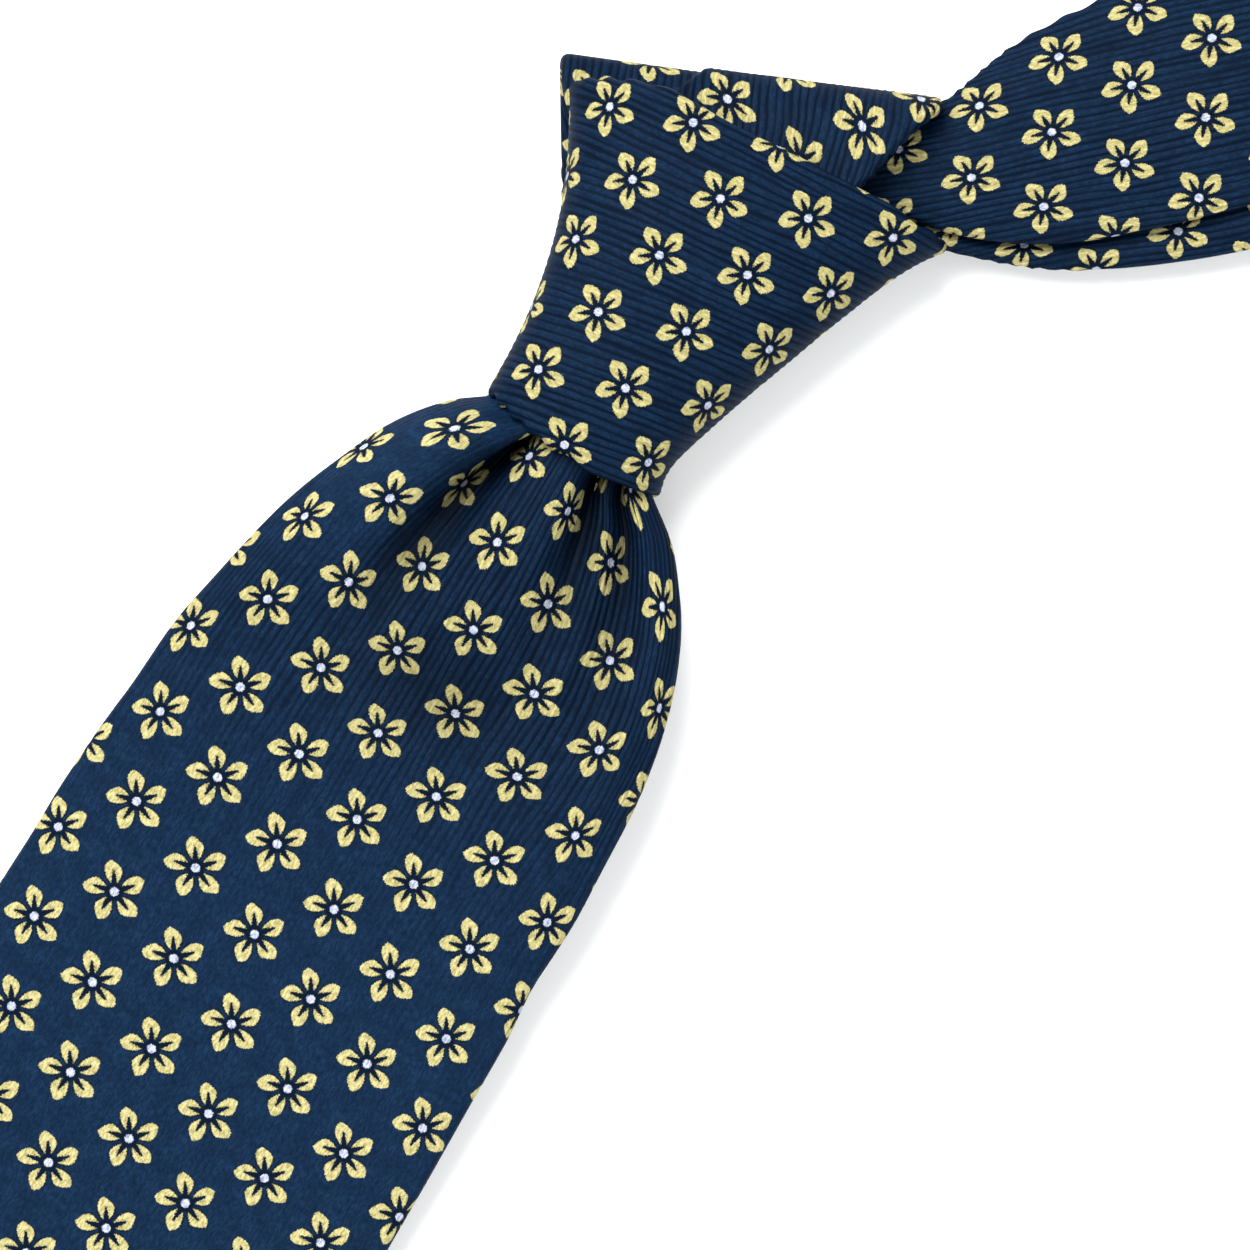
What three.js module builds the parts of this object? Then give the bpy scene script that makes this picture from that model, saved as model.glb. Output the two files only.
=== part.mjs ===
// A silk necktie tied in a four-in-hand knot and laid face up on a table.
// Millimetres. +Z is up, +Y runs from the front tip through the knot, and the origin is under the knot on the table.
// Each run of the folded cloth is a thin shell around its own run of interlining.
import * as THREE from "three";

// ---- Cloth and layers ----
const CLOTH = 0.4; // one thickness of the woven silk
const PLAY = 0.3; // gap between layers that rest on each other
const KNOT_RUN = 2.4; // thickness of the folded tie where the knot presses it
const BAND_RUN = 2.6; // thickness of the neck bands and the tail
const BLADE_RUN = 3; // thickness of the front blade
const LINING = 0.3; // thickness of the tipping
const SEAM_SLIT = 1.2; // gap of the back seam between the two folded flaps
const ARC_STEPS = 3; // facets in each rolled edge

// ---- Knot ----
const KNOT_BOTTOM = -28; // lower edge of the face wrap
const FACE_TOP_LEFT = 16; // height of the face wrap's upper edge at each side
const FACE_TOP_RIGHT = 22.4;
const CORE_TOP = 11.5; // the hidden cross wrap lies between these heights
const CORE_BOTTOM = -26.5;
const LEVEL = { tuckBack: 1.2, crossBack: 4.2, tail: 8, crossFront: 11.8, tuckFront: 15.6, face: 20.4 };
const TOP_FOLD_LEFT = new THREE.Vector2(-24.5, 19.5); // the line over which the tuck turns forwards
const TOP_FOLD_RIGHT = new THREE.Vector2(16, 39.5);
const TUCK_EXIT_LEFT = -9.4; // the tuck leaves the knot between these
const TUCK_EXIT_RIGHT = 9.6;
const TURN_STEPS = 6;
const MOUTH = -31; // the blades bend here, just below the knot
const MOUTH_GAP = 1.8;

// ---- Front blade ----
const FRONT_LENGTH = 430; // from the knot's lower edge to the tip
const FRONT_HALF_WIDTH = 35.2; // nominal, at the knot
const FRONT_TAPER = 0.0186; // growth of the half width per millimetre
const FRONT_GATHER = 0.608; // share of the width that the knot takes away
const FRONT_SPREAD = 18.6; // length over which the gathers open out
const FRONT_REST = 6.2; // height of the blade's middle where it lies on the tail
const FRONT_FALL = 150; // length over which it comes down from the knot
const FRONT_TIPPING = 130; // length of the lining that shows behind the tip
const HEM = 9; // width of the turned-in edge around the tipping

// ---- Tail ----
const TAIL_LENGTH = 350;
const TAIL_TOP = 2; // where the cut-off end of the tail's run in the knot is
const TAIL_SIDE = 0.2; // sideways place of the tail in the knot
const TAIL_KNOT_HALF = 7.4; // half width where the knot grips it
const TAIL_HALF_WIDTH = 17.5;
const TAIL_TIP_HALF = 22;
const TAIL_STRAIGHT = 34; // stays level this far below the knot, so that it can slide
const TAIL_TIPPING = 70;

// ---- Neck loop ----
const LOOP_HEADING = THREE.MathUtils.degToRad(47); // from +X
const OVER_INNER_END = new THREE.Vector2(4, 9);
const UNDER_OUTER_END = 34; // distances along the heading, from OVER_INNER_END
const LOOP_EXIT = 32;
const LOOP_REACH = 222;
const OVER_SEAM = 140;
const UNDER_SEAM = 118;
const BAND_HALF_WIDTH = 19.5;
const BAND_KNOT_HALF = 7;
const BAND_SPREAD = 46;
const OVER_HEIGHT = 16.5; // height of the upper band's middle at the far fold
const UNDER_HEIGHT = 1.3;
const SEAM_GAP = 1.6;

const colour = (hex, roughness = 0.6) => new THREE.MeshStandardMaterial({ color: hex, roughness, metalness: 0 });
const silk = colour("#16294c", 0.5);
const canvas = colour("#d9d2c0", 0.95);
const satin = colour("#12213f", 0.35);
const thread = colour("#1b2f57", 0.7);
const labelCloth = colour("#c9b878", 0.6);

const necktie = new THREE.Group();
const v3 = (x, y, z) => new THREE.Vector3(x, y, z);
const v2 = (x, y) => new THREE.Vector2(x, y);
const smooth = (t) => THREE.MathUtils.smoothstep(t, 0, 1);
const mix = THREE.MathUtils.lerp;

function add(name, geometry, material) {
  const mesh = new THREE.Mesh(geometry, material);
  mesh.name = name;
  necktie.add(mesh);
}

// ---- Sections, in the plane across a run: x is across, y is out of the cloth's face ----

// A flat band with rolled edges.
function bandSection(halfWidth, low, high) {
  const r = (high - low) / 2;
  const middle = (low + high) / 2;
  const points = [];
  for (const side of [1, -1]) {
    for (let i = 0; i <= ARC_STEPS; i++) {
      const a = side * -Math.PI / 2 + (Math.PI * i) / ARC_STEPS;
      const out = side > 0 ? Math.cos(a) : -Math.cos(Math.PI - a);
      points.push(v2(side * (halfWidth - r) + r * out, middle + r * Math.sin(a)));
    }
  }
  return points;
}

// The shell cloth folded round to the back, where its two edges stop at a slit.
function foldedSection(halfWidth, run, halfSlit) {
  const outer = bandSection(halfWidth, -run / 2, run / 2);
  const inner = bandSection(halfWidth - CLOTH, -run / 2 + CLOTH, run / 2 - CLOTH);
  const back = -run / 2;
  return [v2(halfSlit, back), ...outer, v2(-halfSlit, back), v2(-halfSlit, back + CLOTH), ...inner.reverse(),
    v2(halfSlit, back + CLOTH)];
}

// ---- Lofts ----

// Joins sections along a run. Each station has an origin, its across and normal directions, and an outline that may
// have a hole of its own, which makes a sleeve that is open at both ends.
function loft(stations) {
  const position = [];
  const index = [];
  const outlineSize = stations[0].outline.length;
  const holeSize = stations[0].hole ? stations[0].hole.length : 0;
  const ring = outlineSize + holeSize;
  for (const { origin, across, normal, outline, hole = [] } of stations) {
    for (const p of [...outline, ...hole]) {
      position.push(...origin.clone().addScaledVector(across, p.x).addScaledVector(normal, p.y).toArray());
    }
  }
  const quad = (a, b, c, d) => index.push(a, b, c, a, c, d);
  for (let s = 0; s + 1 < stations.length; s++) {
    const here = s * ring;
    const next = here + ring;
    for (let i = 0; i < outlineSize; i++) {
      const j = (i + 1) % outlineSize;
      quad(here + i, here + j, next + j, next + i);
    }
    for (let i = 0; i < holeSize; i++) {
      const j = (i + 1) % holeSize;
      quad(here + outlineSize + i, next + outlineSize + i, next + outlineSize + j, here + outlineSize + j);
    }
  }
  const first = stations[0];
  const last = stations.at(-1);
  const cap = (station, start, flip) => {
    for (const [a, b, c] of THREE.ShapeUtils.triangulateShape(station.outline, station.hole ? [station.hole] : [])) {
      index.push(start + a, start + (flip ? c : b), start + (flip ? b : c));
    }
  };
  cap(first, 0, true);
  cap(last, (stations.length - 1) * ring, false);
  const geometry = new THREE.BufferGeometry();
  geometry.setAttribute("position", new THREE.Float32BufferAttribute(position, 3));
  geometry.setIndex(facingOut(position, index));
  return geometry;
}

// The index with every face turned round if the body came out inside out.
function facingOut(position, index) {
  const corner = (i) => v3(position[3 * i], position[3 * i + 1], position[3 * i + 2]);
  let volume = 0;
  for (let i = 0; i < index.length; i += 3) {
    volume += corner(index[i]).dot(corner(index[i + 1]).cross(corner(index[i + 2])));
  }
  return volume > 0 ? index : [...index].reverse();
}

// Stations from rulings, the lines across the cloth from point p to point q, with the normal taken from the run.
function stationsOf(rulings, sectionOf) {
  const middles = rulings.map(({ p, q }) => p.clone().add(q).multiplyScalar(0.5));
  return rulings.map(({ p, q }, i) => {
    const across = q.clone().sub(p).normalize();
    const along = middles[Math.min(i + 1, middles.length - 1)].clone().sub(middles[Math.max(i - 1, 0)]);
    const normal = along.cross(across).normalize();
    return { origin: middles[i], across, normal, ...sectionOf(p.distanceTo(q) / 2, i) };
  });
}

const sleeveOf = (run) => (half) => ({
  outline: bandSection(half, -run / 2, run / 2),
  hole: bandSection(half - CLOTH, -run / 2 + CLOTH, run / 2 - CLOTH),
});

const coreOf = (run) => (half) => ({
  outline: bandSection(half - CLOTH - 2 * PLAY, -run / 2 + CLOTH + PLAY, run / 2 - CLOTH - PLAY),
});

// A run of the tie inside the knot: its shell, and the interlining a little shorter inside it.
function addRun(name, rulings, run) {
  add(name + "_shell", loft(stationsOf(rulings, sleeveOf(run))), silk);
  add(name + "_interlining", loft(stationsOf(rulings.slice(1, -1), coreOf(run))), canvas);
}

// ---- The knot ----

const leftEdge = (y) => -14 - (y - KNOT_BOTTOM) * 0.295;
const rightEdge = (y) => 15 + (y - KNOT_BOTTOM) * 0.337;

// Rulings of a half turn round one side of the knot, from height z0 to z1, with the cloth's middle inset from the edge.
function sideTurn(side, top, bottom, inset, z0, z1) {
  const edge = side > 0 ? rightEdge : leftEdge;
  const r = Math.abs(z1 - z0) / 2;
  const rulings = [];
  for (let i = 0; i <= TURN_STEPS; i++) {
    const a = (Math.PI * i) / TURN_STEPS - Math.PI / 2;
    const shift = side * (r * Math.cos(a) - r - inset);
    const z = (z0 + z1) / 2 + Math.sign(z1 - z0) * r * Math.sin(a);
    rulings.push({ p: v3(edge(top) + shift, top, z), q: v3(edge(bottom) + shift, bottom, z) });
  }
  return rulings;
}

function addFaceWrap() {
  const inset = KNOT_RUN / 2;
  const left = sideTurn(-1, FACE_TOP_LEFT, KNOT_BOTTOM, inset, LEVEL.crossBack, LEVEL.face);
  const right = sideTurn(1, FACE_TOP_RIGHT, KNOT_BOTTOM, inset, LEVEL.face, LEVEL.tuckBack);
  const crown = { p: v3(2.5, 19.4, LEVEL.face + 0.8), q: v3(0.5, KNOT_BOTTOM, LEVEL.face + 0.8) };
  addRun("knot_face_wrap", [...left, crown, ...right], KNOT_RUN);
}

function addCrossWrap() {
  const inset = KNOT_RUN * 2 + PLAY * 4;
  const start = { p: v3(leftEdge(CORE_TOP) + 4, CORE_TOP, LEVEL.crossFront), q: v3(leftEdge(CORE_BOTTOM) + 4,
    CORE_BOTTOM, LEVEL.crossFront) };
  const turn = sideTurn(1, CORE_TOP, CORE_BOTTOM, inset, LEVEL.crossFront, LEVEL.crossBack);
  const reach = 10.5; // stops short of where the face wrap begins
  const end = { p: v3(leftEdge(CORE_TOP) + reach, CORE_TOP, LEVEL.crossBack), q: v3(leftEdge(CORE_BOTTOM) + reach,
    CORE_BOTTOM, LEVEL.crossBack) };
  const between = (a, b, t) => ({ p: a.p.clone().lerp(b.p, t), q: a.q.clone().lerp(b.q, t) });
  addRun("knot_cross_wrap", [start, between(start, turn[0], 0.1), ...turn, between(turn.at(-1), end, 0.9), end],
    KNOT_RUN);
}

function addTuck() {
  const along = TOP_FOLD_RIGHT.clone().sub(TOP_FOLD_LEFT).normalize();
  const outward = v2(-along.y, along.x);
  const r = (LEVEL.tuckFront - LEVEL.tuckBack) / 2;
  const turn = [];
  for (let i = 0; i <= TURN_STEPS; i++) {
    const a = (Math.PI * i) / TURN_STEPS - Math.PI / 2;
    const shift = outward.clone().multiplyScalar(r * Math.cos(a) - r - KNOT_RUN / 2);
    const z = (LEVEL.tuckFront + LEVEL.tuckBack) / 2 + r * Math.sin(a);
    const ends = [TOP_FOLD_LEFT, TOP_FOLD_RIGHT].map((e) => v3(e.x + shift.x, e.y + shift.y, z));
    turn.push({ p: ends[0], q: ends[1] });
  }
  const backInset = KNOT_RUN / 2 + (LEVEL.face - LEVEL.tuckBack) / 2 + 0.5;
  const low = LEVEL.tuckBack;
  const backStart = { p: v3(rightEdge(KNOT_BOTTOM) - backInset, KNOT_BOTTOM, low),
    q: v3(rightEdge(FACE_TOP_RIGHT) - backInset, FACE_TOP_RIGHT, low) };
  const exit = (y) => ({ p: v3(TUCK_EXIT_LEFT, y, LEVEL.tuckFront), q: v3(TUCK_EXIT_RIGHT, y, LEVEL.tuckFront) });
  const between = (a, b, t) => ({ p: a.p.clone().lerp(b.p, t), q: a.q.clone().lerp(b.q, t) });
  addRun("knot_tuck", [backStart, between(backStart, turn[0], 0.08), between(backStart, turn[0], 0.92), ...turn,
    exit(KNOT_BOTTOM + 1), exit(MOUTH + MOUTH_GAP)], KNOT_RUN);
}

// The front side of the neck band where it enters the knot, behind the cross wrap.
function addBandRoot() {
  const half = 4.5;
  const from = v3(-8, 16, LEVEL.crossBack);
  const to = v3(26, 31.5, LEVEL.crossBack);
  const side = v3(to.y - from.y, from.x - to.x, 0).normalize().multiplyScalar(half);
  const at = (t) => {
    const c = from.clone().lerp(to, t);
    return { p: c.clone().sub(side), q: c.clone().add(side) };
  };
  addRun("neck_band_root", [0, 0.05, 0.95, 1].map(at), KNOT_RUN);
}

// ---- The neck loop ----

const heading = v2(Math.cos(LOOP_HEADING), Math.sin(LOOP_HEADING));
const sideways = v2(heading.y, -heading.x);

const bandHalf = (s) => mix(BAND_KNOT_HALF, BAND_HALF_WIDTH, smooth((s - LOOP_EXIT) / BAND_SPREAD));
const overZ = (s) => mix(LEVEL.tail, OVER_HEIGHT, smooth((s - LOOP_EXIT) / (LOOP_REACH - LOOP_EXIT)));
const underZ = (s) => mix(LEVEL.crossBack, UNDER_HEIGHT, smooth((s - LOOP_EXIT) / 30));

// A ruling across the loop at distance s, skewed so that a bias seam runs at 45 degrees.
function loopRuling(s, height, skew = 0) {
  const half = bandHalf(s);
  const point = (side) => {
    const at = s + side * skew;
    const plan = OVER_INNER_END.clone().addScaledVector(heading, at).addScaledVector(sideways, side * half);
    return v3(plan.x, plan.y, height(at));
  };
  return { p: point(-1), q: point(1) };
}

// Rulings along one band between two distances. The last one is skewed at a seam.
function bandRulings(distances, height, seamAt) {
  const reach = 45;
  return distances.map((s) => loopRuling(s, height, BAND_HALF_WIDTH * Math.max(0, 1 - Math.abs(s - seamAt) / reach)));
}

function farTurn() {
  const r = (OVER_HEIGHT - UNDER_HEIGHT) / 2;
  const rulings = [];
  for (let i = 0; i <= TURN_STEPS; i++) {
    const a = Math.PI / 2 - (Math.PI * i) / TURN_STEPS;
    rulings.push(loopRuling(LOOP_REACH - r + r * Math.cos(a), () => (OVER_HEIGHT + UNDER_HEIGHT) / 2 + r * Math.sin(a)));
  }
  return rulings;
}

function addNeckLoop() {
  const over = bandRulings([6, 16, 32, 40, 48, 58, 68, 78, 95, 110, 125, OVER_SEAM - SEAM_GAP / 2], overZ, OVER_SEAM);
  const overNeck = bandRulings([OVER_SEAM + SEAM_GAP / 2, 155, 170, 185, 200], overZ, OVER_SEAM);
  const underNeck = bandRulings([200, 180, 163, 148, 133, UNDER_SEAM + SEAM_GAP / 2], underZ, UNDER_SEAM);
  const under = bandRulings([UNDER_SEAM - SEAM_GAP / 2, 103, 88, 73, 60, 50, 42, UNDER_OUTER_END], underZ, UNDER_SEAM);
  const neck = [...overNeck, ...farTurn(), ...underNeck];
  add("neck_band_tail_side_shell", loft(stationsOf(over, sleeveOf(BAND_RUN))), silk);
  add("neck_piece_shell", loft(stationsOf(neck, sleeveOf(BAND_RUN))), silk);
  add("neck_band_front_side_shell", loft(stationsOf(under, sleeveOf(BAND_RUN))), silk);
  add("neck_interlining", loft(stationsOf([...over.slice(1), ...neck, ...under.slice(0, -1)], coreOf(BAND_RUN))),
    canvas);
}

// The line of stitching that joins two shells, lying in the gap between them on the loop's outer face.
function addSeam(name, s, height, out) {
  const { p, q } = loopRuling(s, height, BAND_HALF_WIDTH);
  const inset = BAND_RUN;
  const run = q.clone().sub(p);
  const lift = out * (BAND_RUN / 2 - 0.35);
  const ends = [inset, run.length() - inset].map((d) => p.clone().addScaledVector(run.clone().normalize(), d));
  const across = run.clone().cross(v3(0, 0, 1)).normalize();
  const normal = across.clone().cross(run).normalize();
  const outline = [v2(-0.2, lift - 0.2), v2(0.2, lift - 0.2), v2(0.2, lift + 0.2), v2(-0.2, lift + 0.2)];
  add(name, loft(ends.map((origin) => ({ origin, across, normal, outline }))), thread);
}

// ---- The blades ----

// A blade that hangs down -Y from the knot, as functions of the distance d below the knot's lower edge.
function bladeStations(distances, blade, sectionOf) {
  return distances.map((d) => {
    const slope = (blade.z(d + 0.5) - blade.z(d - 0.5)) / 1;
    const normal = v3(0, slope, 1).normalize();
    return { origin: v3(blade.x(d), KNOT_BOTTOM - d, blade.z(d)), across: v3(1, 0, 0), normal,
      outline: sectionOf(blade.half(d), d) };
  });
}

// Half width of a blade that ends in a right-angled point.
const pointed = (half, d, length) => Math.min(half, length - d);

// Half the slit between the flaps: shut along the seam, and opening to the hem over the tipping.
function slitOf(half, d, length, tipping) {
  const opening = smooth((d - (length - tipping)) / (tipping - HEM * 4));
  return Math.max(SEAM_SLIT / 2, Math.min(mix(SEAM_SLIT / 2, half - HEM, opening), half - HEM * 1.2));
}

const front = {
  run: BLADE_RUN,
  x: () => 0,
  z: (d) => mix(LEVEL.tuckFront, FRONT_REST, smooth(d / FRONT_FALL)),
  half: (d) => pointed((FRONT_HALF_WIDTH + FRONT_TAPER * d) * (1 - FRONT_GATHER * Math.exp(-d / FRONT_SPREAD)), d,
    FRONT_LENGTH),
};

// The tail's run through the knot, down to the mouth.
function addTailGrip() {
  const at = (y) => ({ p: v3(TAIL_SIDE - TAIL_KNOT_HALF, y, LEVEL.tail), q: v3(TAIL_SIDE + TAIL_KNOT_HALF, y,
    LEVEL.tail) });
  addRun("tail_grip", [TAIL_TOP, TAIL_TOP - 1, MOUTH + 2, MOUTH + 1].map(at), BAND_RUN);
}

const tail = {
  run: BAND_RUN,
  x: (d) => mix(TAIL_SIDE, 0, smooth((d - TAIL_STRAIGHT) / 40)),
  z: (d) => mix(LEVEL.tail, BAND_RUN / 2, smooth((d - TAIL_STRAIGHT) / 56)),
  half: (d) => pointed(mix(mix(TAIL_KNOT_HALF, TAIL_HALF_WIDTH, smooth((d - TAIL_STRAIGHT) / 36)), TAIL_TIP_HALF,
    Math.max(0, d - 70) / (TAIL_LENGTH - 70)), d, TAIL_LENGTH),
};

function addBlade(name, blade, length, tipping, distances, widest) {
  const { run } = blade;
  const tip = length - 2.5;
  const hemEnd = length - HEM * 1.3;
  const shellAt = [...distances, length - tipping, length - tipping * 0.75, length - tipping * 0.5, widest, hemEnd, tip];
  const shell = (half, d) => foldedSection(half, run, slitOf(half, d, length, tipping));
  add(name + "_shell", loft(bladeStations(shellAt, blade, shell)), silk);

  const liningLow = -run / 2 + CLOTH + PLAY;
  const liningHigh = liningLow + LINING;
  const tippingAt = [length - tipping * 0.95, length - tipping * 0.5, widest, length - 9];
  add(name + "_tipping", loft(bladeStations(tippingAt, blade, (half) =>
    bandSection(half - 2.2, liningLow, liningHigh))), satin);

  const coreLow = liningHigh + PLAY;
  const coreHigh = run / 2 - CLOTH - PLAY;
  const coreAt = [distances[0] + 1, ...distances.slice(1), length - tipping * 0.5, widest, length - 8];
  add(name + "_interlining", loft(bladeStations(coreAt, blade, (half) =>
    bandSection(half - 1.6, coreLow, coreHigh))), canvas);

  const stitch = (halfWidth) => [v2(-halfWidth, -run / 2 + 0.02), v2(halfWidth, -run / 2 + 0.02),
    v2(halfWidth, -run / 2 + CLOTH - 0.03), v2(-halfWidth, -run / 2 + CLOTH - 0.03)];
  const stitchAt = [distances[0] + 2, ...distances.slice(1)];
  add(name + "_slip_stitch", loft(bladeStations(stitchAt, blade, () => stitch(0.3))), thread);
  const tackAt = length - tipping * 0.8;
  const tackHalf = slitOf(blade.half(tackAt), tackAt, length, tipping) - 0.3;
  add(name + "_bar_tack", loft(bladeStations([tackAt, tackAt + 1.6], blade, () => stitch(tackHalf))), thread);
}

// ---- What is sewn on the back of the front blade ----

const KEEPER_AT = 265; // distances below the knot
const KEEPER_WIDTH = 10;
const KEEPER_HALF_SPAN = 30;
const LABEL_AT = 300;
const LABEL_SIZE = v2(54, 22);
const bladeBack = FRONT_REST - BLADE_RUN / 2; // height of the blade's back

// A plate of the XZ outline given, running along Y over the width given.
function alongY(points, y, width) {
  const geometry = new THREE.ExtrudeGeometry(new THREE.Shape(points), { depth: width, bevelEnabled: false });
  return geometry.rotateX(Math.PI / 2).translate(0, y + width / 2, 0);
}

function box(x, y, z, sx, sy, sz) {
  return new THREE.BoxGeometry(sx, sy, sz).translate(x, y, z);
}

function addKeeperAndLabel() {
  const y = KNOT_BOTTOM - KEEPER_AT;
  const top = bladeBack - PLAY;
  const low = top - 1.05;
  const strap = 0.6;
  const pad = 6;
  const s = KEEPER_HALF_SPAN;
  add("keeper_loop", alongY([v2(-s, low), v2(s, low), v2(s, top), v2(s - pad, top), v2(s - pad - 2, low + strap),
    v2(pad + 2 - s, low + strap), v2(pad - s, top), v2(-s, top)], y, KEEPER_WIDTH), silk);
  for (const [side, name] of [[-1, "left"], [1, "right"]]) {
    add("keeper_stitch_" + name, box(side * (s - pad / 2), y, low - PLAY / 2 - 0.15, 1, KEEPER_WIDTH - 3, 0.3), thread);
  }
  const labelY = KNOT_BOTTOM - LABEL_AT;
  add("blank_label", box(0, labelY, top - 0.2, LABEL_SIZE.x, LABEL_SIZE.y, 0.4), labelCloth);
  for (const [side, name] of [[-1, "left"], [1, "right"]]) {
    add("label_stitch_" + name, box(side * (LABEL_SIZE.x / 2 - 1.5), labelY, top - 0.85, 0.8, LABEL_SIZE.y - 3, 0.3),
      thread);
  }
}

addFaceWrap();
addCrossWrap();
addTuck();
addBandRoot();
addNeckLoop();
addSeam("tail_neck_seam", OVER_SEAM, overZ, 1);
addSeam("front_neck_seam", UNDER_SEAM, underZ, -1);
addTailGrip();
addBlade("front_blade", front, FRONT_LENGTH, FRONT_TIPPING,
  [KNOT_BOTTOM - MOUTH, 6, 10, 16, 24, 34, 48, 64, 84, 104, 125, 150, 210], FRONT_LENGTH - 42.5);
addBlade("tail_blade", tail, TAIL_LENGTH, TAIL_TIPPING,
  [KNOT_BOTTOM - MOUTH + 0.4, TAIL_STRAIGHT, 42, 50, 58, 68, 78, 90, 180], TAIL_LENGTH - TAIL_TIP_HALF);
addKeeperAndLabel();

export default necktie;
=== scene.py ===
import bpy
import numpy as np
from mathutils import Matrix, Vector


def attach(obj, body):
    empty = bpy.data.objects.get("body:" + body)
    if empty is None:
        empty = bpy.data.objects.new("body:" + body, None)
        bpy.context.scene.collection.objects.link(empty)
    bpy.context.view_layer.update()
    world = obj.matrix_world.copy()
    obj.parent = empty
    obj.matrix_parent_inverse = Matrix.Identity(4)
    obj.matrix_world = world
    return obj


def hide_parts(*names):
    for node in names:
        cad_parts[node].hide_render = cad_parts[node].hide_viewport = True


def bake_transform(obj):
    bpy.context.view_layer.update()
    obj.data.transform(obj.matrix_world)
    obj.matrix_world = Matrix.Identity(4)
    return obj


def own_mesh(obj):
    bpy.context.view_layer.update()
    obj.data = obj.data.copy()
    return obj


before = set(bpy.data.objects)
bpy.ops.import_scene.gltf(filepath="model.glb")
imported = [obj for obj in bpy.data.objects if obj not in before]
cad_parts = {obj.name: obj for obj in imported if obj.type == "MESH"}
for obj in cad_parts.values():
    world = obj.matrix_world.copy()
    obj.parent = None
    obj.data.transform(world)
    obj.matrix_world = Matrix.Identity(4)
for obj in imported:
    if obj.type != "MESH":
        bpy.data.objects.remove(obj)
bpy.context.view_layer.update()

# A silk necktie tied in a four-in-hand knot, lying face up. Shapes are worked out in millimetres, in the
# frame's axes: +Y runs from the front tip up through the knot, +X to the side the neck loop lies on, +Z up.
# The origin is under the knot. Every run of the tie is a grid of points whose rows go towards the neck and
# whose columns go to the right, so that its normals come out of the cloth's face. Cloth coordinates u (to
# the right) and v (towards the neck) follow the cloth and carry its woven pattern.

MM = 0.001

# ---- Sizes of the tie, in millimetres ----
KNOT_BOTTOM = -28.0
FRONT_LENGTH = 430.0
FRONT_HALF = 35.2
FRONT_TAPER = 0.0186
FRONT_TIPPING = 130.0
HEM = 9.0
SEAM_SLIT = 1.2
BLADE_RUN = 3.0
KNOT_RUN = 2.4
BAND_RUN = 2.6
SILK = 0.35
RIB_PITCH = 1.15
CORE_GAP = SILK + 0.25

# ---- The woven pattern, in cloth coordinates ----
STEP_A = np.array([7.886, 8.954])
STEP_B = np.array([11.634, -3.820])
BLADE_FLOWER = np.array([6.577, 0.781])
FACE_FLOWER = (-2.66, 0.67)
TUCK_FLOWER = (12.3, 31.6)
BAND_FLOWER = (11.3, -1.9)
PETALS = 5
PETAL_TURN = np.radians(49.0)
PETAL_ROOT = 1.0
PETAL_LENGTH = 3.55
PETAL_WIDTH = 2.10
PETAL_LEAN = 0.34

# How far the yarn frays the pattern's edges, and how high each part of the weave stands.
FRAY = 0.6
RIB_BUMP = 0.16
FLOWER_BUMP = 0.035
TWILL_BUMP = 0.012


# ---- Numbers ----

def smooth(t):
    """0 below 0, 1 above 1, and three t squared less two t cubed between."""
    t = np.clip(t, 0, 1)
    return t * t * (3 - 2 * t)


def mix(a, b, t):
    """The value a share t of the way from a to b: a plus t times their difference."""
    return a + (b - a) * t


def through(knots, values, at):
    """A smooth curve through the values at the knots: cubic pieces whose slopes are the mean slopes at the
    knots."""
    k = np.asarray(knots, float)
    y = np.asarray(values, float)
    slope = np.gradient(y, k, axis=0)
    at = np.asarray(at, float)
    i = np.clip(np.searchsorted(k, at) - 1, 0, len(k) - 2)
    h = k[i + 1] - k[i]
    t = np.clip((at - k[i]) / h, 0, 1)
    if y.ndim > 1:
        h = h[..., None]
        t = t[..., None]
    return (
        (1 + 2 * t) * (1 - t) ** 2 * y[i]
        + t * (1 - t) ** 2 * h * slope[i]
        + t * t * (3 - 2 * t) * y[i + 1]
        + t * t * (t - 1) * h * slope[i + 1]
    )


def unevenness(x, y, seed):
    """Value noise from -1 to 1: a scrambled height at every whole-numbered point, eased between
    neighbours."""
    xi, yi = np.floor(x), np.floor(y)
    fx, fy = smooth(x - xi), smooth(y - yi)

    def height(a, b):
        """From -1 to 1 at a whole-numbered point: the fraction left of a large multiple of a sine."""
        n = np.sin(a * 127.1 + b * 311.7 + seed * 74.7) * 43758.5453
        return 2 * (n - np.floor(n)) - 1

    low = mix(height(xi, yi), height(xi + 1, yi), fx)
    high = mix(height(xi, yi + 1), height(xi + 1, yi + 1), fx)
    return mix(low, high, fy)


def points(x, y, z):
    """A grid of points from its three coordinates, each of which is a number, a row, a column or a grid."""
    return np.stack(np.broadcast_arrays(x, y, z), -1)


def unit(a):
    """Vectors divided by their own lengths."""
    return a / np.maximum(np.linalg.norm(a, axis=-1, keepdims=True), 1e-9)


def normals(grid):
    """Unit normals of a grid: the step across its columns crossed with the step along its rows."""
    return unit(np.cross(np.gradient(grid, axis=1), np.gradient(grid, axis=0)))


def ribbed(grid, across, along, depth, seed):
    """The grid with fine ribs along the tie: a wave of the rib pitch, whose lines wander a little and whose
    height comes and goes in long patches, pushed out along the normals, with a broader, fainter unevenness
    under it."""
    wander = 0.55 * unevenness(across / 7, along / 30, seed)
    wander = wander + 0.25 * unevenness(across / 2.5, along / 16, seed + 1)
    patch = 0.6 + 0.4 * unevenness(across / 3.2, along / 15, seed + 2)
    wave = patch * np.sin(2 * np.pi * (across / RIB_PITCH + wander))
    broad = 0.7 * unevenness(across / 5.5, along / 26, seed + 3)
    return grid + (depth * (wave + broad))[..., None] * normals(grid)


# ---- Runs of the folded tie ----

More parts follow.
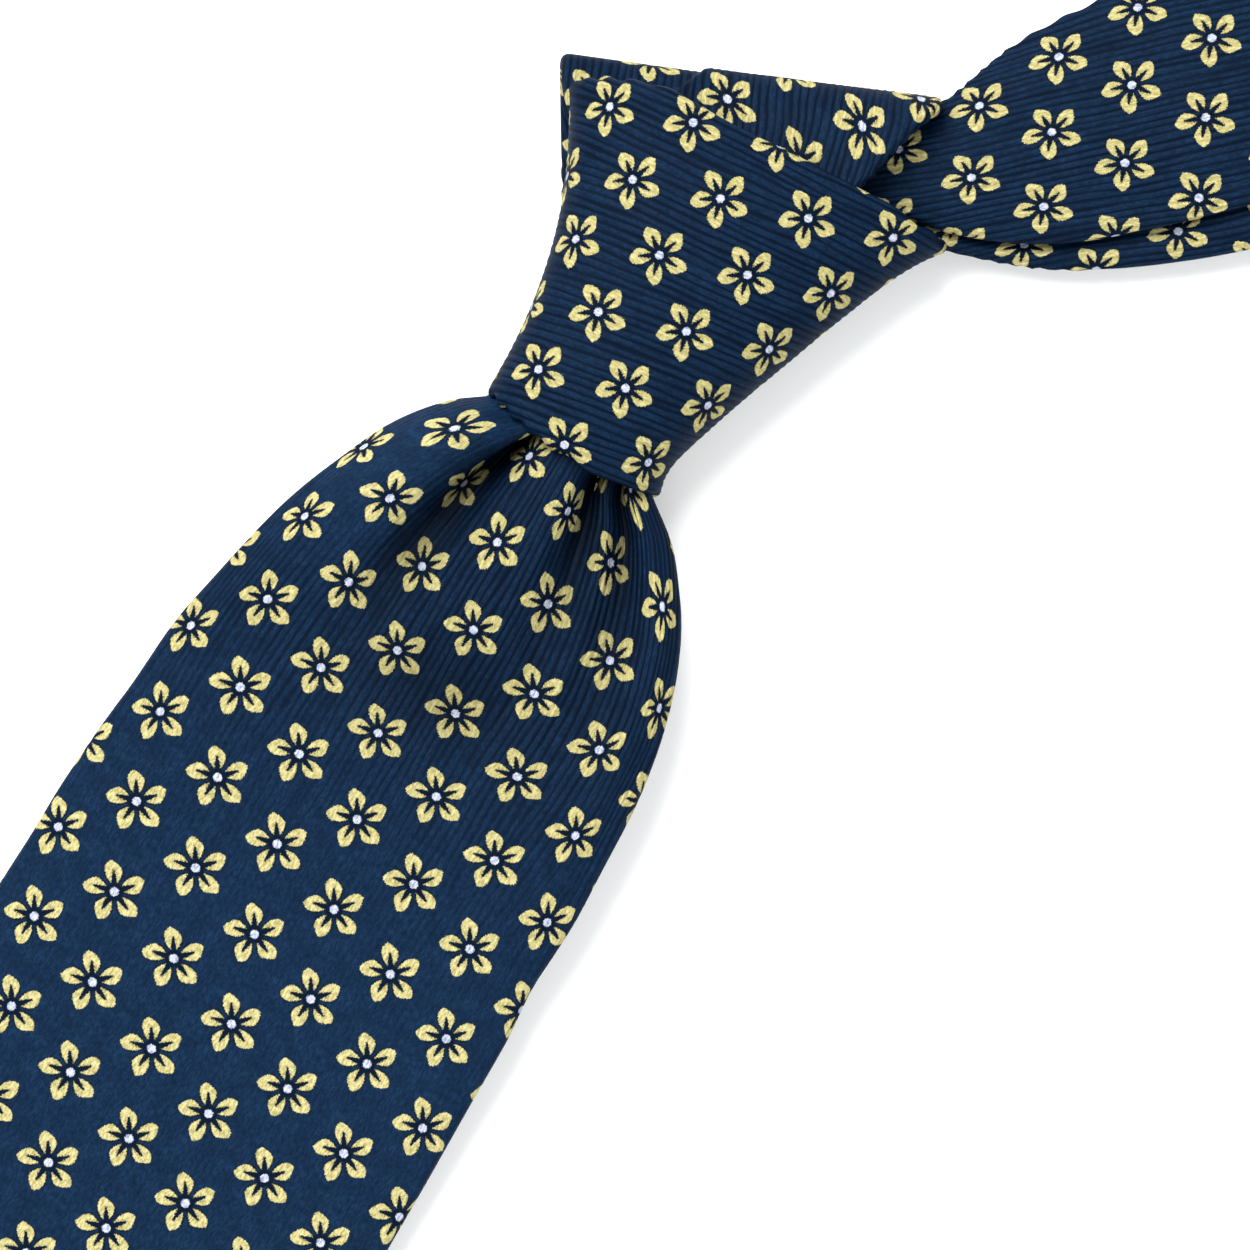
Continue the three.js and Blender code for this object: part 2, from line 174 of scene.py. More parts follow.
def between_columns(grid, column):
    """The grid's points at a fractional column number for each row, straight between the two columns beside
    it."""
    rows = np.arange(grid.shape[0])[:, None]
    low = np.clip(np.floor(column).astype(int), 0, grid.shape[1] - 2)
    t = column - low
    if grid.ndim == 3:
        t = t[..., None]
    return grid[rows, low] * (1 - t) + grid[rows, low + 1] * t


def folded(face, u, v, run, flap_share, turn=7, flap=12):
    """A face grid with both long edges folded to the back. Each edge turns half a circle as wide as the run
    is thick, then lies under the face at that distance for its share of the half width. Cloth coordinates
    go on by arc length."""
    n = normals(face)
    run = np.broadcast_to(np.asarray(run, float).reshape(-1, 1), (face.shape[0], 1))
    r = run[..., None] / 2
    count = face.shape[1]
    share = np.broadcast_to(np.asarray(flap_share, float), (face.shape[0],))[:, None]
    angle = np.linspace(0, np.pi, turn + 1)[1:]
    steps = np.linspace(0, 1, flap + 1)[1:]
    sides = []
    for edge, inner, sign in ((0, 1, -1), (-1, -2, 1)):
        out = unit(face[:, edge] - face[:, inner])[:, None]
        up = n[:, edge][:, None]
        a = angle[None, :, None]
        roll = face[:, edge][:, None] + r * (np.cos(a) - 1) * up + r * np.sin(a) * out
        roll_u = u[:, edge][:, None] + sign * run / 2 * angle[None, :]
        column = share * steps[None, :] * (count - 1) / 2
        if sign > 0:
            column = count - 1 - column
        under = between_columns(face, column) - run[..., None] * between_columns(n, column)
        under_u = 2 * u[:, edge][:, None] + sign * np.pi * run / 2 - between_columns(u, column)
        side = np.concatenate([roll, under], 1)
        side_u = np.concatenate([roll_u, under_u], 1)
        side_v = np.repeat(v[:, edge][:, None], side.shape[1], 1)
        sides.append((side, side_u, side_v))
    (left, left_u, left_v), (right, right_u, right_v) = sides
    return (
        np.concatenate([left[:, ::-1], face, right], 1),
        np.concatenate([left_u[:, ::-1], u, right_u], 1),
        np.concatenate([left_v[:, ::-1], v, right_v], 1),
    )


def core_of(face, inset=1.3, every=2):
    """The outer surface of the canvas inside a folded run: the face moved in by one thickness of cloth and a
    little play, cut short by the inset at both sides and by one row at both ends."""
    inner = face - CORE_GAP * normals(face)
    width = lengths(inner, 1)[:, -1:]
    share = np.clip(inset / np.maximum(width, 1e-6), 0, 0.45)
    columns = face.shape[1]
    t = np.linspace(0, 1, max(columns // every, 8))[None, :]
    column = (share + (1 - 2 * share) * t) * (columns - 1)
    return between_columns(inner, column)[1:-1]


def plain_coordinates(grid):
    """Coordinates across and along a plain piece, by arc length."""
    return lengths(grid, 1), lengths(grid, 0)


def ruled(lefts, rights, rows, columns):
    """A grid of straight lines from a smooth curve through the left ends to one through the right ends."""
    at = np.linspace(0, len(lefts) - 1, rows)
    left = through(np.arange(len(lefts)), lefts, at)
    right = through(np.arange(len(rights)), rights, at)
    t = np.linspace(0, 1, columns)[None, :, None]
    return left[:, None] * (1 - t) + right[:, None] * t


def lengths(grid, axis):
    """Arc length along one axis of a grid, from its first row or column."""
    step = np.linalg.norm(np.diff(grid, axis=axis), axis=-1)
    total = np.cumsum(step, axis=axis)
    start = np.zeros_like(np.take(total, [0], axis))
    return np.concatenate([start, total], axis)


def cloth_coordinates(grid, flower, turn=0.0):
    """Cloth coordinates of a grid from its arc lengths out from its middle row and column, turned by an
    angle, set so that a woven flower lies at the given point of the plan. The nearest grid point to it
    gives the offset."""
    u = lengths(grid, 1)
    v = lengths(grid, 0)
    u = u - u[:, [u.shape[1] // 2]]
    c, s = np.cos(turn), np.sin(turn)
    u, v = c * u - s * v, s * u + c * v
    far = (grid[..., 0] - flower[0]) ** 2 + (grid[..., 1] - flower[1]) ** 2 - 2 * grid[..., 2]
    i, j = np.unravel_index(np.argmin(far), far.shape)
    return u - u[i, j] + BLADE_FLOWER[0], v - v[i, j] + BLADE_FLOWER[1]


def laid_on_plan(x, y, heading, flower, stretch=1.0):
    """Cloth coordinates of flat cloth seen from above: the plan turned so that v runs along the heading,
    measured from a flower's place and divided by how much the cloth is stretched."""
    dx, dy = x - flower[0], y - flower[1]
    c, s = np.cos(heading), np.sin(heading)
    return BLADE_FLOWER[0] + (s * dx - c * dy) / stretch, BLADE_FLOWER[1] + (c * dx + s * dy) / stretch


# ---- Meshes ----

def sheet_mesh(name, grid, u, v, material, thick=SILK, ribbing=0.0, ribs=None, crease=0.0):
    """A mesh of the grid's cells with the UV map "weave" in metres, the UV map "rib" (across and along the
    ribs), and the attributes "ribbing", how strong the ribs are and so how much painted shade lies in
    their grooves, and "crease", how deep in a fold the cloth lies, which the silk paints as shade. A
    Solidify modifier gives the cloth its thickness."""
    rows, columns = grid.shape[:2]
    mesh = bpy.data.meshes.new(name)
    index = np.arange(rows * columns).reshape(rows, columns)
    cells = np.stack([index[:-1, :-1], index[:-1, 1:], index[1:, 1:], index[1:, :-1]], -1).reshape(-1, 4)
    mesh.vertices.add(rows * columns)
    mesh.vertices.foreach_set("co", (grid * MM).astype(np.float32).ravel())
    mesh.loops.add(cells.size)
    mesh.loops.foreach_set("vertex_index", cells.astype(np.int32).ravel())
    mesh.polygons.add(len(cells))
    mesh.polygons.foreach_set("loop_start", np.arange(0, cells.size, 4, dtype=np.int32))
    mesh.polygons.foreach_set("use_smooth", np.ones(len(cells), bool))
    mesh.update(calc_edges=True)
    mesh.validate()
    for title, pair in (("weave", (u, v)), ("rib", ribs if ribs is not None else (u, v))):
        flat = np.stack([np.broadcast_to(p, (rows, columns)) for p in pair], -1).reshape(-1, 2) * MM
        layer = mesh.uv_layers.new(name=title)
        layer.data.foreach_set("uv", flat[cells.ravel()].astype(np.float32).ravel())
    for title, values in (("ribbing", ribbing), ("crease", crease)):
        values = np.broadcast_to(values, (rows, columns)).astype(np.float32).ravel()
        mesh.attributes.new(title, "FLOAT", "POINT").data.foreach_set("value", values)
    mesh.materials.append(material)
    made = bpy.data.objects.new(name, mesh)
    bpy.context.scene.collection.objects.link(made)
    if thick:
        wall = made.modifiers.new("cloth thickness", "SOLIDIFY")
        wall.thickness = thick * MM
        wall.offset = -1.0
    return made


def canvas_mesh(name, core, thick):
    """A run's interlining: plain canvas of the given thickness, on the surface just inside its cloth."""
    return sheet_mesh(name, core, *plain_coordinates(core), CANVAS, thick=thick)


# ---- Materials ----

class Nodes:
    """Short ways to write a material's arithmetic. A value is a number, a colour or another node's output."""

    def __init__(self, name):
        """A new material with an empty node tree."""
        self.material = bpy.data.materials.new(name)
        self.material.use_nodes = True
        self.tree = self.material.node_tree
        self.tree.nodes.clear()

    def put(self, kind, inputs=(), **settings):
        """A new node with its settings and its inputs filled in."""
        node = self.tree.nodes.new(kind)
        for key, value in settings.items():
            setattr(node, key, value)
        for key, value in dict(inputs).items():
            self.join(value, node.inputs[key])
        return node

    def join(self, value, socket):
        """Another node's output is linked to the socket, and anything else is set on it."""
        if isinstance(value, bpy.types.NodeSocket):
            self.tree.links.new(value, socket)
        else:
            socket.default_value = value

    def math(self, operation, *values, clamp=False):
        """One step of arithmetic, kept between 0 and 1 where clamp is set."""
        node = self.put("ShaderNodeMath", enumerate(values), operation=operation, use_clamp=clamp)
        return node.outputs[0]

    def times(self, a, b, clamp=False):
        """a times b."""
        return self.math("MULTIPLY", a, b, clamp=clamp)

    def plus(self, a, b):
        """a plus b."""
        return self.math("ADD", a, b)

    def minus(self, a, b):
        """a less b."""
        return self.math("SUBTRACT", a, b)

    def ramp(self, value, low, high, to_low=0.0, to_high=1.0):
        """An eased step: to_low where the value is at low, to_high where it is at high."""
        inputs = {"Value": value, "From Min": low, "From Max": high, "To Min": to_low, "To Max": to_high}
        return self.put("ShaderNodeMapRange", inputs, interpolation_type="SMOOTHSTEP").outputs[0]

    def blend(self, share, a, b, kind="MIX"):
        """Colour a with the given share of colour b, mixed or multiplied in."""
        inputs = {0: share, 6: a, 7: b}
        return self.put("ShaderNodeMix", inputs, data_type="RGBA", blend_type=kind).outputs[2]

    def noise(self, vector, scale, detail=2.0, rough=0.5):
        """Cloudy noise from 0 to 1."""
        inputs = {"Vector": vector, "Scale": scale, "Detail": detail, "Roughness": rough}
        return self.put("ShaderNodeTexNoise", inputs).outputs[0]

    def uv(self, name):
        """A UV map of the mesh, in millimetres."""
        return self.scaled(self.put("ShaderNodeUVMap", uv_map=name).outputs[0], (1000, 1000, 0))

    def painted(self, name):
        """A number that the mesh keeps at each of its points."""
        return self.put("ShaderNodeAttribute", attribute_name=name).outputs["Fac"]

    def parts(self, vector):
        """The x and y of a vector."""
        node = self.put("ShaderNodeSeparateXYZ", {0: vector})
        return node.outputs[0], node.outputs[1]

    def vector(self, x, y):
        """A vector from its x and y."""
        return self.put("ShaderNodeCombineXYZ", {0: x, 1: y}).outputs[0]

    def scaled(self, vector, by):
        """A vector multiplied part by part."""
        return self.put("ShaderNodeVectorMath", {0: vector, 1: by}, operation="MULTIPLY").outputs[0]

    def bump(self, height):
        """The surface's direction where it is raised by a height in millimetres."""
        return self.put("ShaderNodeBump", {"Strength": 1.0, "Distance": MM, "Height": height}).outputs[0]

    def finish(self, colour, normal=None, **sockets):
        """The finished material: one Principled shader with these values on its own sockets."""
        shader = self.put("ShaderNodeBsdfPrincipled", {"Base Color": colour})
        for key, value in sockets.items():
            shader.inputs[key.replace("_", " ").title().replace("Ior", "IOR")].default_value = value
        if normal is not None:
            self.join(normal, shader.inputs["Normal"])
        self.put("ShaderNodeOutputMaterial", {0: shader.outputs[0]})
        return self.material


NAVY = (0.0027, 0.0113, 0.0295, 1)
NAVY_DEEP = (0.0004, 0.0032, 0.0100, 1)
NAVY_LIT = (0.0060, 0.0222, 0.0570, 1)
GOLD = (0.445, 0.400, 0.195, 1)
GOLD_SHADE = (0.235, 0.205, 0.072, 1)
PEARL = (0.400, 0.415, 0.490, 1)
PEARL_SHADE = (0.150, 0.175, 0.250, 1)


def flower_pattern(m, weave):
    """How much a point of the cloth is petal, heart and dark surround. Its cloth coordinates are split into
    whole steps of the two repeat vectors and a remainder, which is the point's place in its own flower.
    There the angle is folded into one petal. The petal is as wide as a rise from the heart times a fall to
    the point, its end leans to one side, and a dark vein with short barbs runs up it."""
    moved = m.put("ShaderNodeVectorMath", {0: weave, 1: (31, 17, 0)}, operation="ADD").outputs[0]
    u, v = m.parts(weave)
    u = m.plus(u, m.times(m.minus(m.noise(weave, 4.2, 2.0, 0.65), 0.5), FRAY))
    v = m.plus(v, m.times(m.minus(m.noise(moved, 4.6, 2.0, 0.65), 0.5), FRAY))
    (a_u, a_v), (b_u, b_v) = STEP_A.tolist(), STEP_B.tolist()
    area = a_u * b_v - a_v * b_u
    u = m.minus(u, float(BLADE_FLOWER[0]))
    v = m.minus(v, float(BLADE_FLOWER[1]))
    steps_a = m.minus(m.times(u, b_v / area), m.times(v, b_u / area))
    steps_b = m.minus(m.times(v, a_u / area), m.times(u, a_v / area))
    left_a = m.minus(steps_a, m.math("ROUND", steps_a))
    left_b = m.minus(steps_b, m.math("ROUND", steps_b))
    x = m.plus(m.times(left_a, a_u), m.times(left_b, b_u))
    y = m.plus(m.times(left_a, a_v), m.times(left_b, b_v))
    r = m.math("SQRT", m.plus(m.times(x, x), m.times(y, y)))
    turn = m.times(m.minus(m.math("ARCTAN2", y, x), float(PETAL_TURN)), PETALS / (2 * np.pi))
    fold = m.times(m.minus(turn, m.math("ROUND", turn)), 2 * np.pi / PETALS)
    along = m.times(r, m.math("COSINE", fold))
    side = m.minus(m.times(r, m.math("SINE", fold)), m.ramp(along, 2.8, 4.5, 0.0, PETAL_LEAN))
    off = m.math("ABSOLUTE", side)
    t = m.math("DIVIDE", m.minus(along, PETAL_ROOT), PETAL_LENGTH, clamp=True)
    fall = m.minus(1.0, m.math("POWER", t, 2.9))
    half = m.times(m.times(m.math("POWER", t, 0.62), fall), PETAL_WIDTH)
    room = m.minus(half, off)
    ends = m.times(m.ramp(along, PETAL_ROOT, 1.2), m.ramp(along, 4.53, 4.46))
    petal = m.times(m.ramp(room, -0.06, 0.09), ends)
    vein_half = m.ramp(along, 1.2, 3.2, 0.42, 0.17)
    vein = m.times(m.ramp(m.minus(vein_half, off), -0.06, 0.06), m.ramp(along, 3.3, 2.95))
    barb = m.math("SINE", m.times(m.plus(along, off), 13.0))
    barbs = m.times(m.times(m.ramp(barb, 0.3, 0.95), m.ramp(off, 0.7, 0.35)), m.ramp(along, 3.0, 2.4))
    petal = m.times(petal, m.minus(1.0, vein))
    petal = m.times(petal, m.minus(1.0, m.times(barbs, 0.7)))
    heart = m.ramp(r, 0.69, 0.56)
    outline = m.times(m.ramp(room, -0.42, -0.08), m.ramp(r, 3.9, 2.5))
    ring = m.ramp(r, 1.5, 1.05)
    return petal, heart, m.math("MAXIMUM", m.math("MAXIMUM", outline, vein), ring)


def rib_pattern(m):
    """The height of the fine ribs: a sine of the rib pitch whose phase wanders with slow noise and whose
    height comes and goes in long patches, with fine streaks along the ribs added."""
    across, down = m.parts(m.uv("rib"))

    def streaks(narrow, long):
        """Noise drawn out along the ribs."""
        return m.noise(m.vector(m.times(across, narrow), m.times(down, long)), 1.0)

    phase = m.plus(m.times(across, 2 * np.pi / RIB_PITCH), m.times(streaks(0.14, 0.035), 14.0))
    wave = m.math("MULTIPLY_ADD", m.math("SINE", phase), 0.5, 0.5)
    wave = m.times(wave, m.ramp(streaks(0.42, 0.07), 0.30, 0.62, 0.25, 1.0))
    return m.plus(m.times(wave, 0.8), m.times(streaks(1.9, 0.09), 0.5))


def woven_silk(name):
    """Navy silk with a half-drop of gold flowers, each with a pearl heart. The ground goes between two
    navies with the twill's fine noise. The surround of each flower is darkened. Painted shade darkens
    the grooves between the ribs, the strongly ribbed cloth a little, and the deep of each fold. Ribs,
    flowers and twill also raise the surface a little."""
    m = Nodes(name)
    weave = m.uv("weave")
    petal, heart, shade = flower_pattern(m, weave)
    ribs = rib_pattern(m)
    strength = m.painted("ribbing")
    twill = m.noise(m.scaled(weave, (3.2, 1.1, 0)), 1.0, 3.0, 0.7)
    mottle = m.noise(weave, 0.35, 3.0, 0.6)
    groove = m.ramp(ribs, 0.16, 0.62)
    # dark is painted shade in the grooves between the ribs, as strong as the ribbing.
    dark = m.times(m.minus(1.12, groove), m.times(strength, 1.05), clamp=True)

    ground = m.blend(m.ramp(twill, 0.36, 0.66), NAVY, NAVY_LIT)
    ground = m.blend(m.ramp(mottle, 0.35, 0.7, 0.35, 0.0), ground, NAVY_DEEP)
    # Painted shade in the rib grooves and on strongly ribbed cloth, then each flower's woven dark surround.
    for share in (dark, m.times(strength, 0.22, clamp=True), m.times(shade, 0.85)):
        ground = m.blend(share, ground, NAVY_DEEP)
    gold = m.blend(m.ramp(twill, 0.62, 0.36), GOLD, GOLD_SHADE)
    # The gold takes painted shade in the rib grooves and on strongly ribbed cloth.
    for share in (m.times(dark, 0.45), m.times(strength, 0.16, clamp=True)):
        gold = m.blend(share, gold, GOLD_SHADE)
    colour = m.blend(petal, ground, gold)
    colour = m.blend(heart, colour, m.blend(m.ramp(twill, 0.60, 0.34), PEARL, PEARL_SHADE))
    # Painted shade: multiplied towards deep navy where the cloth lies deep in a fold ("crease").
    colour = m.blend(m.times(m.painted("crease"), 0.92, clamp=True), colour, NAVY_DEEP, "MULTIPLY")

    height = m.times(ribs, m.times(strength, RIB_BUMP))
    height = m.plus(height, m.times(m.math("MAXIMUM", petal, heart), FLOWER_BUMP))
    height = m.plus(height, m.times(twill, TWILL_BUMP))
    return m.finish(colour, m.bump(height), roughness=0.6, specular_ior_level=0.03)


def plain_cloth(name, colour, dark, scale, rough, bump=0.02, **sockets):
    """A plain cloth: its colour goes between two tones with fine noise that also raises it a little."""
    m = Nodes(name)
    grain = m.noise(m.scaled(m.uv("weave"), scale), 1.0, 3.0, 0.6)
    tone = m.blend(m.ramp(grain, 0.3, 0.7), dark, colour)
    return m.finish(tone, m.bump(m.times(grain, bump)), roughness=rough, **sockets)


CANVAS_PALE = (0.78, 0.74, 0.66, 1)
CANVAS_SHADE = (0.55, 0.50, 0.42, 1)
SATIN_NAVY = (0.030, 0.060, 0.150, 1)
SATIN_SHADE = (0.012, 0.030, 0.080, 1)
THREAD_BLUE = (0.09, 0.16, 0.33, 1)
THREAD_SHADE = (0.03, 0.06, 0.15, 1)
LABEL_GOLD = (0.72, 0.66, 0.46, 1)
LABEL_SHADE = (0.55, 0.48, 0.28, 1)
LABEL_LINE = (0.010, 0.030, 0.080, 1)

SILK_CLOTH = woven_silk("woven_silk")
CANVAS = plain_cloth("interlining_canvas", CANVAS_PALE, CANVAS_SHADE, (1.6, 1.6, 0), 0.95, 0.12)
SATIN = plain_cloth("tipping_satin", SATIN_NAVY, SATIN_SHADE, (6.0, 0.9, 0), 0.32, 0.01,
                    specular_ior_level=0.5)
THREAD = plain_cloth("sewing_thread", THREAD_BLUE, THREAD_SHADE, (9, 9, 0), 0.6, 0.02)


def label_cloth(width, length):
    """Gold label cloth with one woven navy line round it, at a fixed distance inside its four edges, and no
    mark."""
    m = Nodes("label_cloth")
    weave = m.uv("weave")
    x, y = m.parts(weave)
    grain = m.noise(m.scaled(weave, (7.0, 2.2, 0)), 1.0, 3.0, 0.6)
    across_edge = m.math("MINIMUM", x, m.minus(width, x))
    along_edge = m.math("MINIMUM", y, m.minus(length, y))
    edge = m.math("MINIMUM", across_edge, along_edge)
    line = m.times(m.ramp(edge, 1.6, 1.75), m.ramp(edge, 2.45, 2.3))
    tone = m.blend(m.ramp(grain, 0.3, 0.7), LABEL_SHADE, LABEL_GOLD)
    tone = m.blend(line, tone, LABEL_LINE)
    return m.finish(tone, m.bump(m.times(grain, 0.02)), roughness=0.5, specular_ior_level=0.3)


LABEL = label_cloth(22.0, 54.0)


# ---- The front blade ----

# The folds that the knot presses into the blade at its mouth: how far across the cloth, the place across
# the mouth, and the height. A puffed lobe on the left turns over a recess, a ridge comes down the middle,
# two creases lie right of it, and a second lobe closes the right side.
PLEATS = np.array([
    (-37.0, -14.4, -2.4),
    (-31.0, -13.4, 1.0),
    (-25.5, -10.4, 3.2),
    (-20.5, -6.9, 2.9),
    (-17.6, -5.3, 0.6),
    (-15.5, -6.0, -2.4),
    (-12.8, -7.0, -4.6),
    (-9.5, -6.0, -4.4),
    (-6.0, -4.4, -1.2),
    (-2.5, -1.8, 1.0),
    (1.5, 1.4, 1.6),
    (5.5, 4.1, 0.6),
    (8.5, 5.1, -2.4),
    (11.5, 6.2, -4.8),
    (14.0, 7.6, -2.6),
    (16.2, 8.6, -1.5),
    (18.6, 9.6, -3.6),
    (21.6, 10.0, -4.2),
    (25.5, 10.9, -0.4),
    (30.0, 13.2, 1.9),
    (37.0, 15.0, -2.0),
])
PLEAT_SPAN = PLEATS[-1, 0]
PLEAT_ACROSS = PLEATS[:, 1]
PLEAT_HEIGHT = PLEATS[:, 2]


def front_half(d):
    """Half the flat width at distance d below the knot: a steady taper, cut to a right-angled point at the
    tip."""
    return np.minimum(FRONT_HALF + FRONT_TAPER * np.maximum(d, 0), np.maximum(FRONT_LENGTH - d, 0.6))


def slit_half(half, d, length, tipping):
    """Half the opening between the back flaps: shut along the seam, then wider and wider until only a hem
    is left."""
    opening = smooth((d - (length - tipping)) / (tipping - 4 * HEM))
    widest = np.maximum(half - 1.2 * HEM, SEAM_SLIT / 2)
    return np.clip(mix(SEAM_SLIT / 2, half - HEM, opening), SEAM_SLIT / 2, widest)


def front_height(d):
    """Height of the face: level in the knot's mouth, then easing down to lie on the tail."""
    return mix(15.6, 6.2, smooth(d / 150)) + BLADE_RUN / 2


def front_surface(u, d):
    """Where the cloth at (u, d) lies. At the mouth it follows the pleats. Their hold on the cloth dies away
    with distance, a little slower at the edges and in height than in width. The middle is drawn a little
    towards the tip, the right side is let out and the left side nipped in. The height also has a crown across
    the width, edges turned down, a swell on the left lobe with a hollow beside it, a soft dent 40 below the
    knot, and both edges pinched under at the mouth. Each of these is a bell or an eased step."""
    half = front_half(d)
    down = np.maximum(d, 0)
    hold_inside = np.exp(-(down / 15.5) ** 1.35)
    hold_edge = np.minimum(1.0, 1.02 * np.exp(-down / 18.6))
    hold = mix(hold_inside, hold_edge, smooth((np.abs(u) / half - 0.72) / 0.28))
    at = u * PLEAT_SPAN / np.maximum(half, PLEAT_SPAN)
    tuck_in = 0.94 * (1 + 0.03 * np.minimum(d, 0))
    x = u - hold * (u - tuck_in * through(PLEATS[:, 0], PLEAT_ACROSS, at))
    drawn = np.exp(-((u - 3) / 21) ** 4) * (1 - smooth((down - 18) / 44))
    x = x + 1.8 * smooth(u / 26) * smooth(down / 6) * (1 - smooth((down - 24) / 45))
    nipped = smooth(down / 4) * (1 - smooth((down - 6) / 14))
    nipped = nipped + smooth((down - 30) / 30) * (1 - smooth((down - 130) / 80))
    x = x - nipped * smooth(-u / 30)
    y = KNOT_BOTTOM - d - 3.2 * drawn
    rise = np.exp(-(down / 21) ** 1.25)
    crown = 2.0 * smooth(down / 12) * (1 - smooth(down / 110)) * (1 - (u / half) ** 2)
    z = front_height(d) + rise * through(PLEATS[:, 0], PLEAT_HEIGHT, at) + crown
    edge = smooth((np.abs(u) / half - 0.8) / 0.2)
    z = z - 0.8 * edge * smooth(down / 10)
    swell = smooth(down / 8) * (1 - smooth((down - 10) / 38))
    z = z + swell * (1.3 * np.exp(-((u + 24) / 8) ** 2) - 1.8 * np.exp(-((u + 12.5) / 4.6) ** 2))
    z = z - 1.2 * np.exp(-((u - 2) / 13) ** 2 - ((d - 40) / 9) ** 2)
    pinched = 1 - smooth((d - 0.5) / 5.5)
    z = z - pinched * (3.6 * smooth((-u - 17) / 8) + 3.4 * smooth((u - 20) / 9))
    return np.stack([x, y, z], -1)


def front_blade_grid(rows=140, columns=286):
    """The blade's face on a grid: u runs evenly across the width, and the rows of d crowd towards the knot
    by a power of 1.75, where the folds are."""
    d = -7 + (FRONT_LENGTH - 1.5 + 7) * np.linspace(1, 0, rows)[:, None] ** 1.75
    half = front_half(d) - np.minimum(BLADE_RUN / 2, front_half(d) * 0.4)
    u = half * np.linspace(-1, 1, columns)[None, :]
    d = np.broadcast_to(d, u.shape)
    return front_surface(u, d), u, KNOT_BOTTOM - d, d


def make_front_blade():
    """The blade as a sleeve: the face surface with ribs, folded over behind to the back seam. The painted
    shade of the folds is a bell across each one that dies away down the blade, with more painted shade in
    the hollow beside the left lobe and over the dent 40 below the knot. The ribs, and the painted shade
    in their grooves, are calmer on the left lobe and fade out below the pleats."""
    face, u, v, d = front_blade_grid()
    near = 1 - smooth((d - 40) / 60)
    lobe = 0.3 + 0.7 * smooth((u + 22) / 9)
    face = ribbed(face, u, d, 0.075 * near * mix(1.0, lobe, 1 - smooth((d - 20) / 25)) + 0.008, 3)
    half = front_half(d[:, 0])
    share = 1 - slit_half(half, d[:, 0], FRONT_LENGTH, FRONT_TIPPING) / half
    at = u * PLEAT_SPAN / np.maximum(half[:, None], PLEAT_SPAN)
    down = np.maximum(d, 0)
    # fold is painted shade: in each pleat, the hollow beside the left lobe and the dent 40 below the knot.
    fold = np.clip(-0.25 * through(PLEATS[:, 0], PLEAT_HEIGHT, at) - 0.1, 0, 1) * np.exp(-(down / 19) ** 1.3)
    fold = np.maximum(fold, 0.85 * np.exp(-((u + 12.5) / 4.2) ** 2 - (down / 31) ** 3))
    fold = np.maximum(fold, 0.42 * np.exp(-((u - 1) / 12) ** 2 - ((d - 39) / 9) ** 2))
    run = np.minimum(BLADE_RUN, half * 0.8)
    grid, gu, gv = folded(face, u, v, run, share)
    behind = (grid.shape[1] - face.shape[1]) // 2
    fold = np.pad(fold, ((0, 0), (behind, behind)), mode="edge")
    strength = 1 - 0.84 * smooth((-gv - 44) / 72)
    calm = mix(1.0, 0.15 + 0.85 * smooth((gu + 22) / 9), 1 - smooth((-gv - 48) / 25))
    core = core_of(face[:-38], inset=2.0, every=4)
    return (sheet_mesh("front_blade_cloth", grid, gu, gv, SILK_CLOTH, ribbing=strength * calm, crease=fold),
            canvas_mesh("front_blade_canvas", core, 0.9))


# ---- The knot ----

def face_wrap_surface(angle, p):
    """The wrap's outer surface. A flattened oval goes round the knot, from the right side (angle 0) over
    the face to the left side (half a turn) and on behind. Its width and its lower and upper edges follow
    the knot's outline, with p from 0 at the lower edge to 1 at the upper one. Behind, it reaches down to
    the table on the right, and only to the tail on the left."""
    c, s = np.cos(angle), np.sin(angle)
    boxy = np.where(c < 0, 2 / 2.9, 2 / 2.4)
    xi = np.sign(c) * np.abs(c) ** boxy
    zeta = np.sign(s) * np.abs(s) ** boxy
    left = -14.0 - 12.7 * p ** 2.3
    right = 12.7 + 17.2 * p ** 1.1 + 2.2 * p ** 12 + 2.4 * (1 - p) ** 20
    lower = KNOT_BOTTOM - 2.6 * (1 - xi ** 2)
    upper = 22.6 + 1.6 * xi - 18 * np.maximum(0, -xi - 0.55) ** 1.5 - 9 * np.maximum(0, xi - 0.6) ** 2
    x = (left + right) / 2 + (right - left) / 2 * xi
    y = mix(lower, upper, p)
    front = 10.6 + 0.5 * smooth(p * 2) - 1.3 * np.exp(-p * 11) - 0.9 * np.exp(-(1 - p) * 12)
    behind = np.where(xi > 0, 11.3, 8.7)
    z = 11.6 + np.where(s > 0, front, behind) * zeta
    return points(x, y, z)


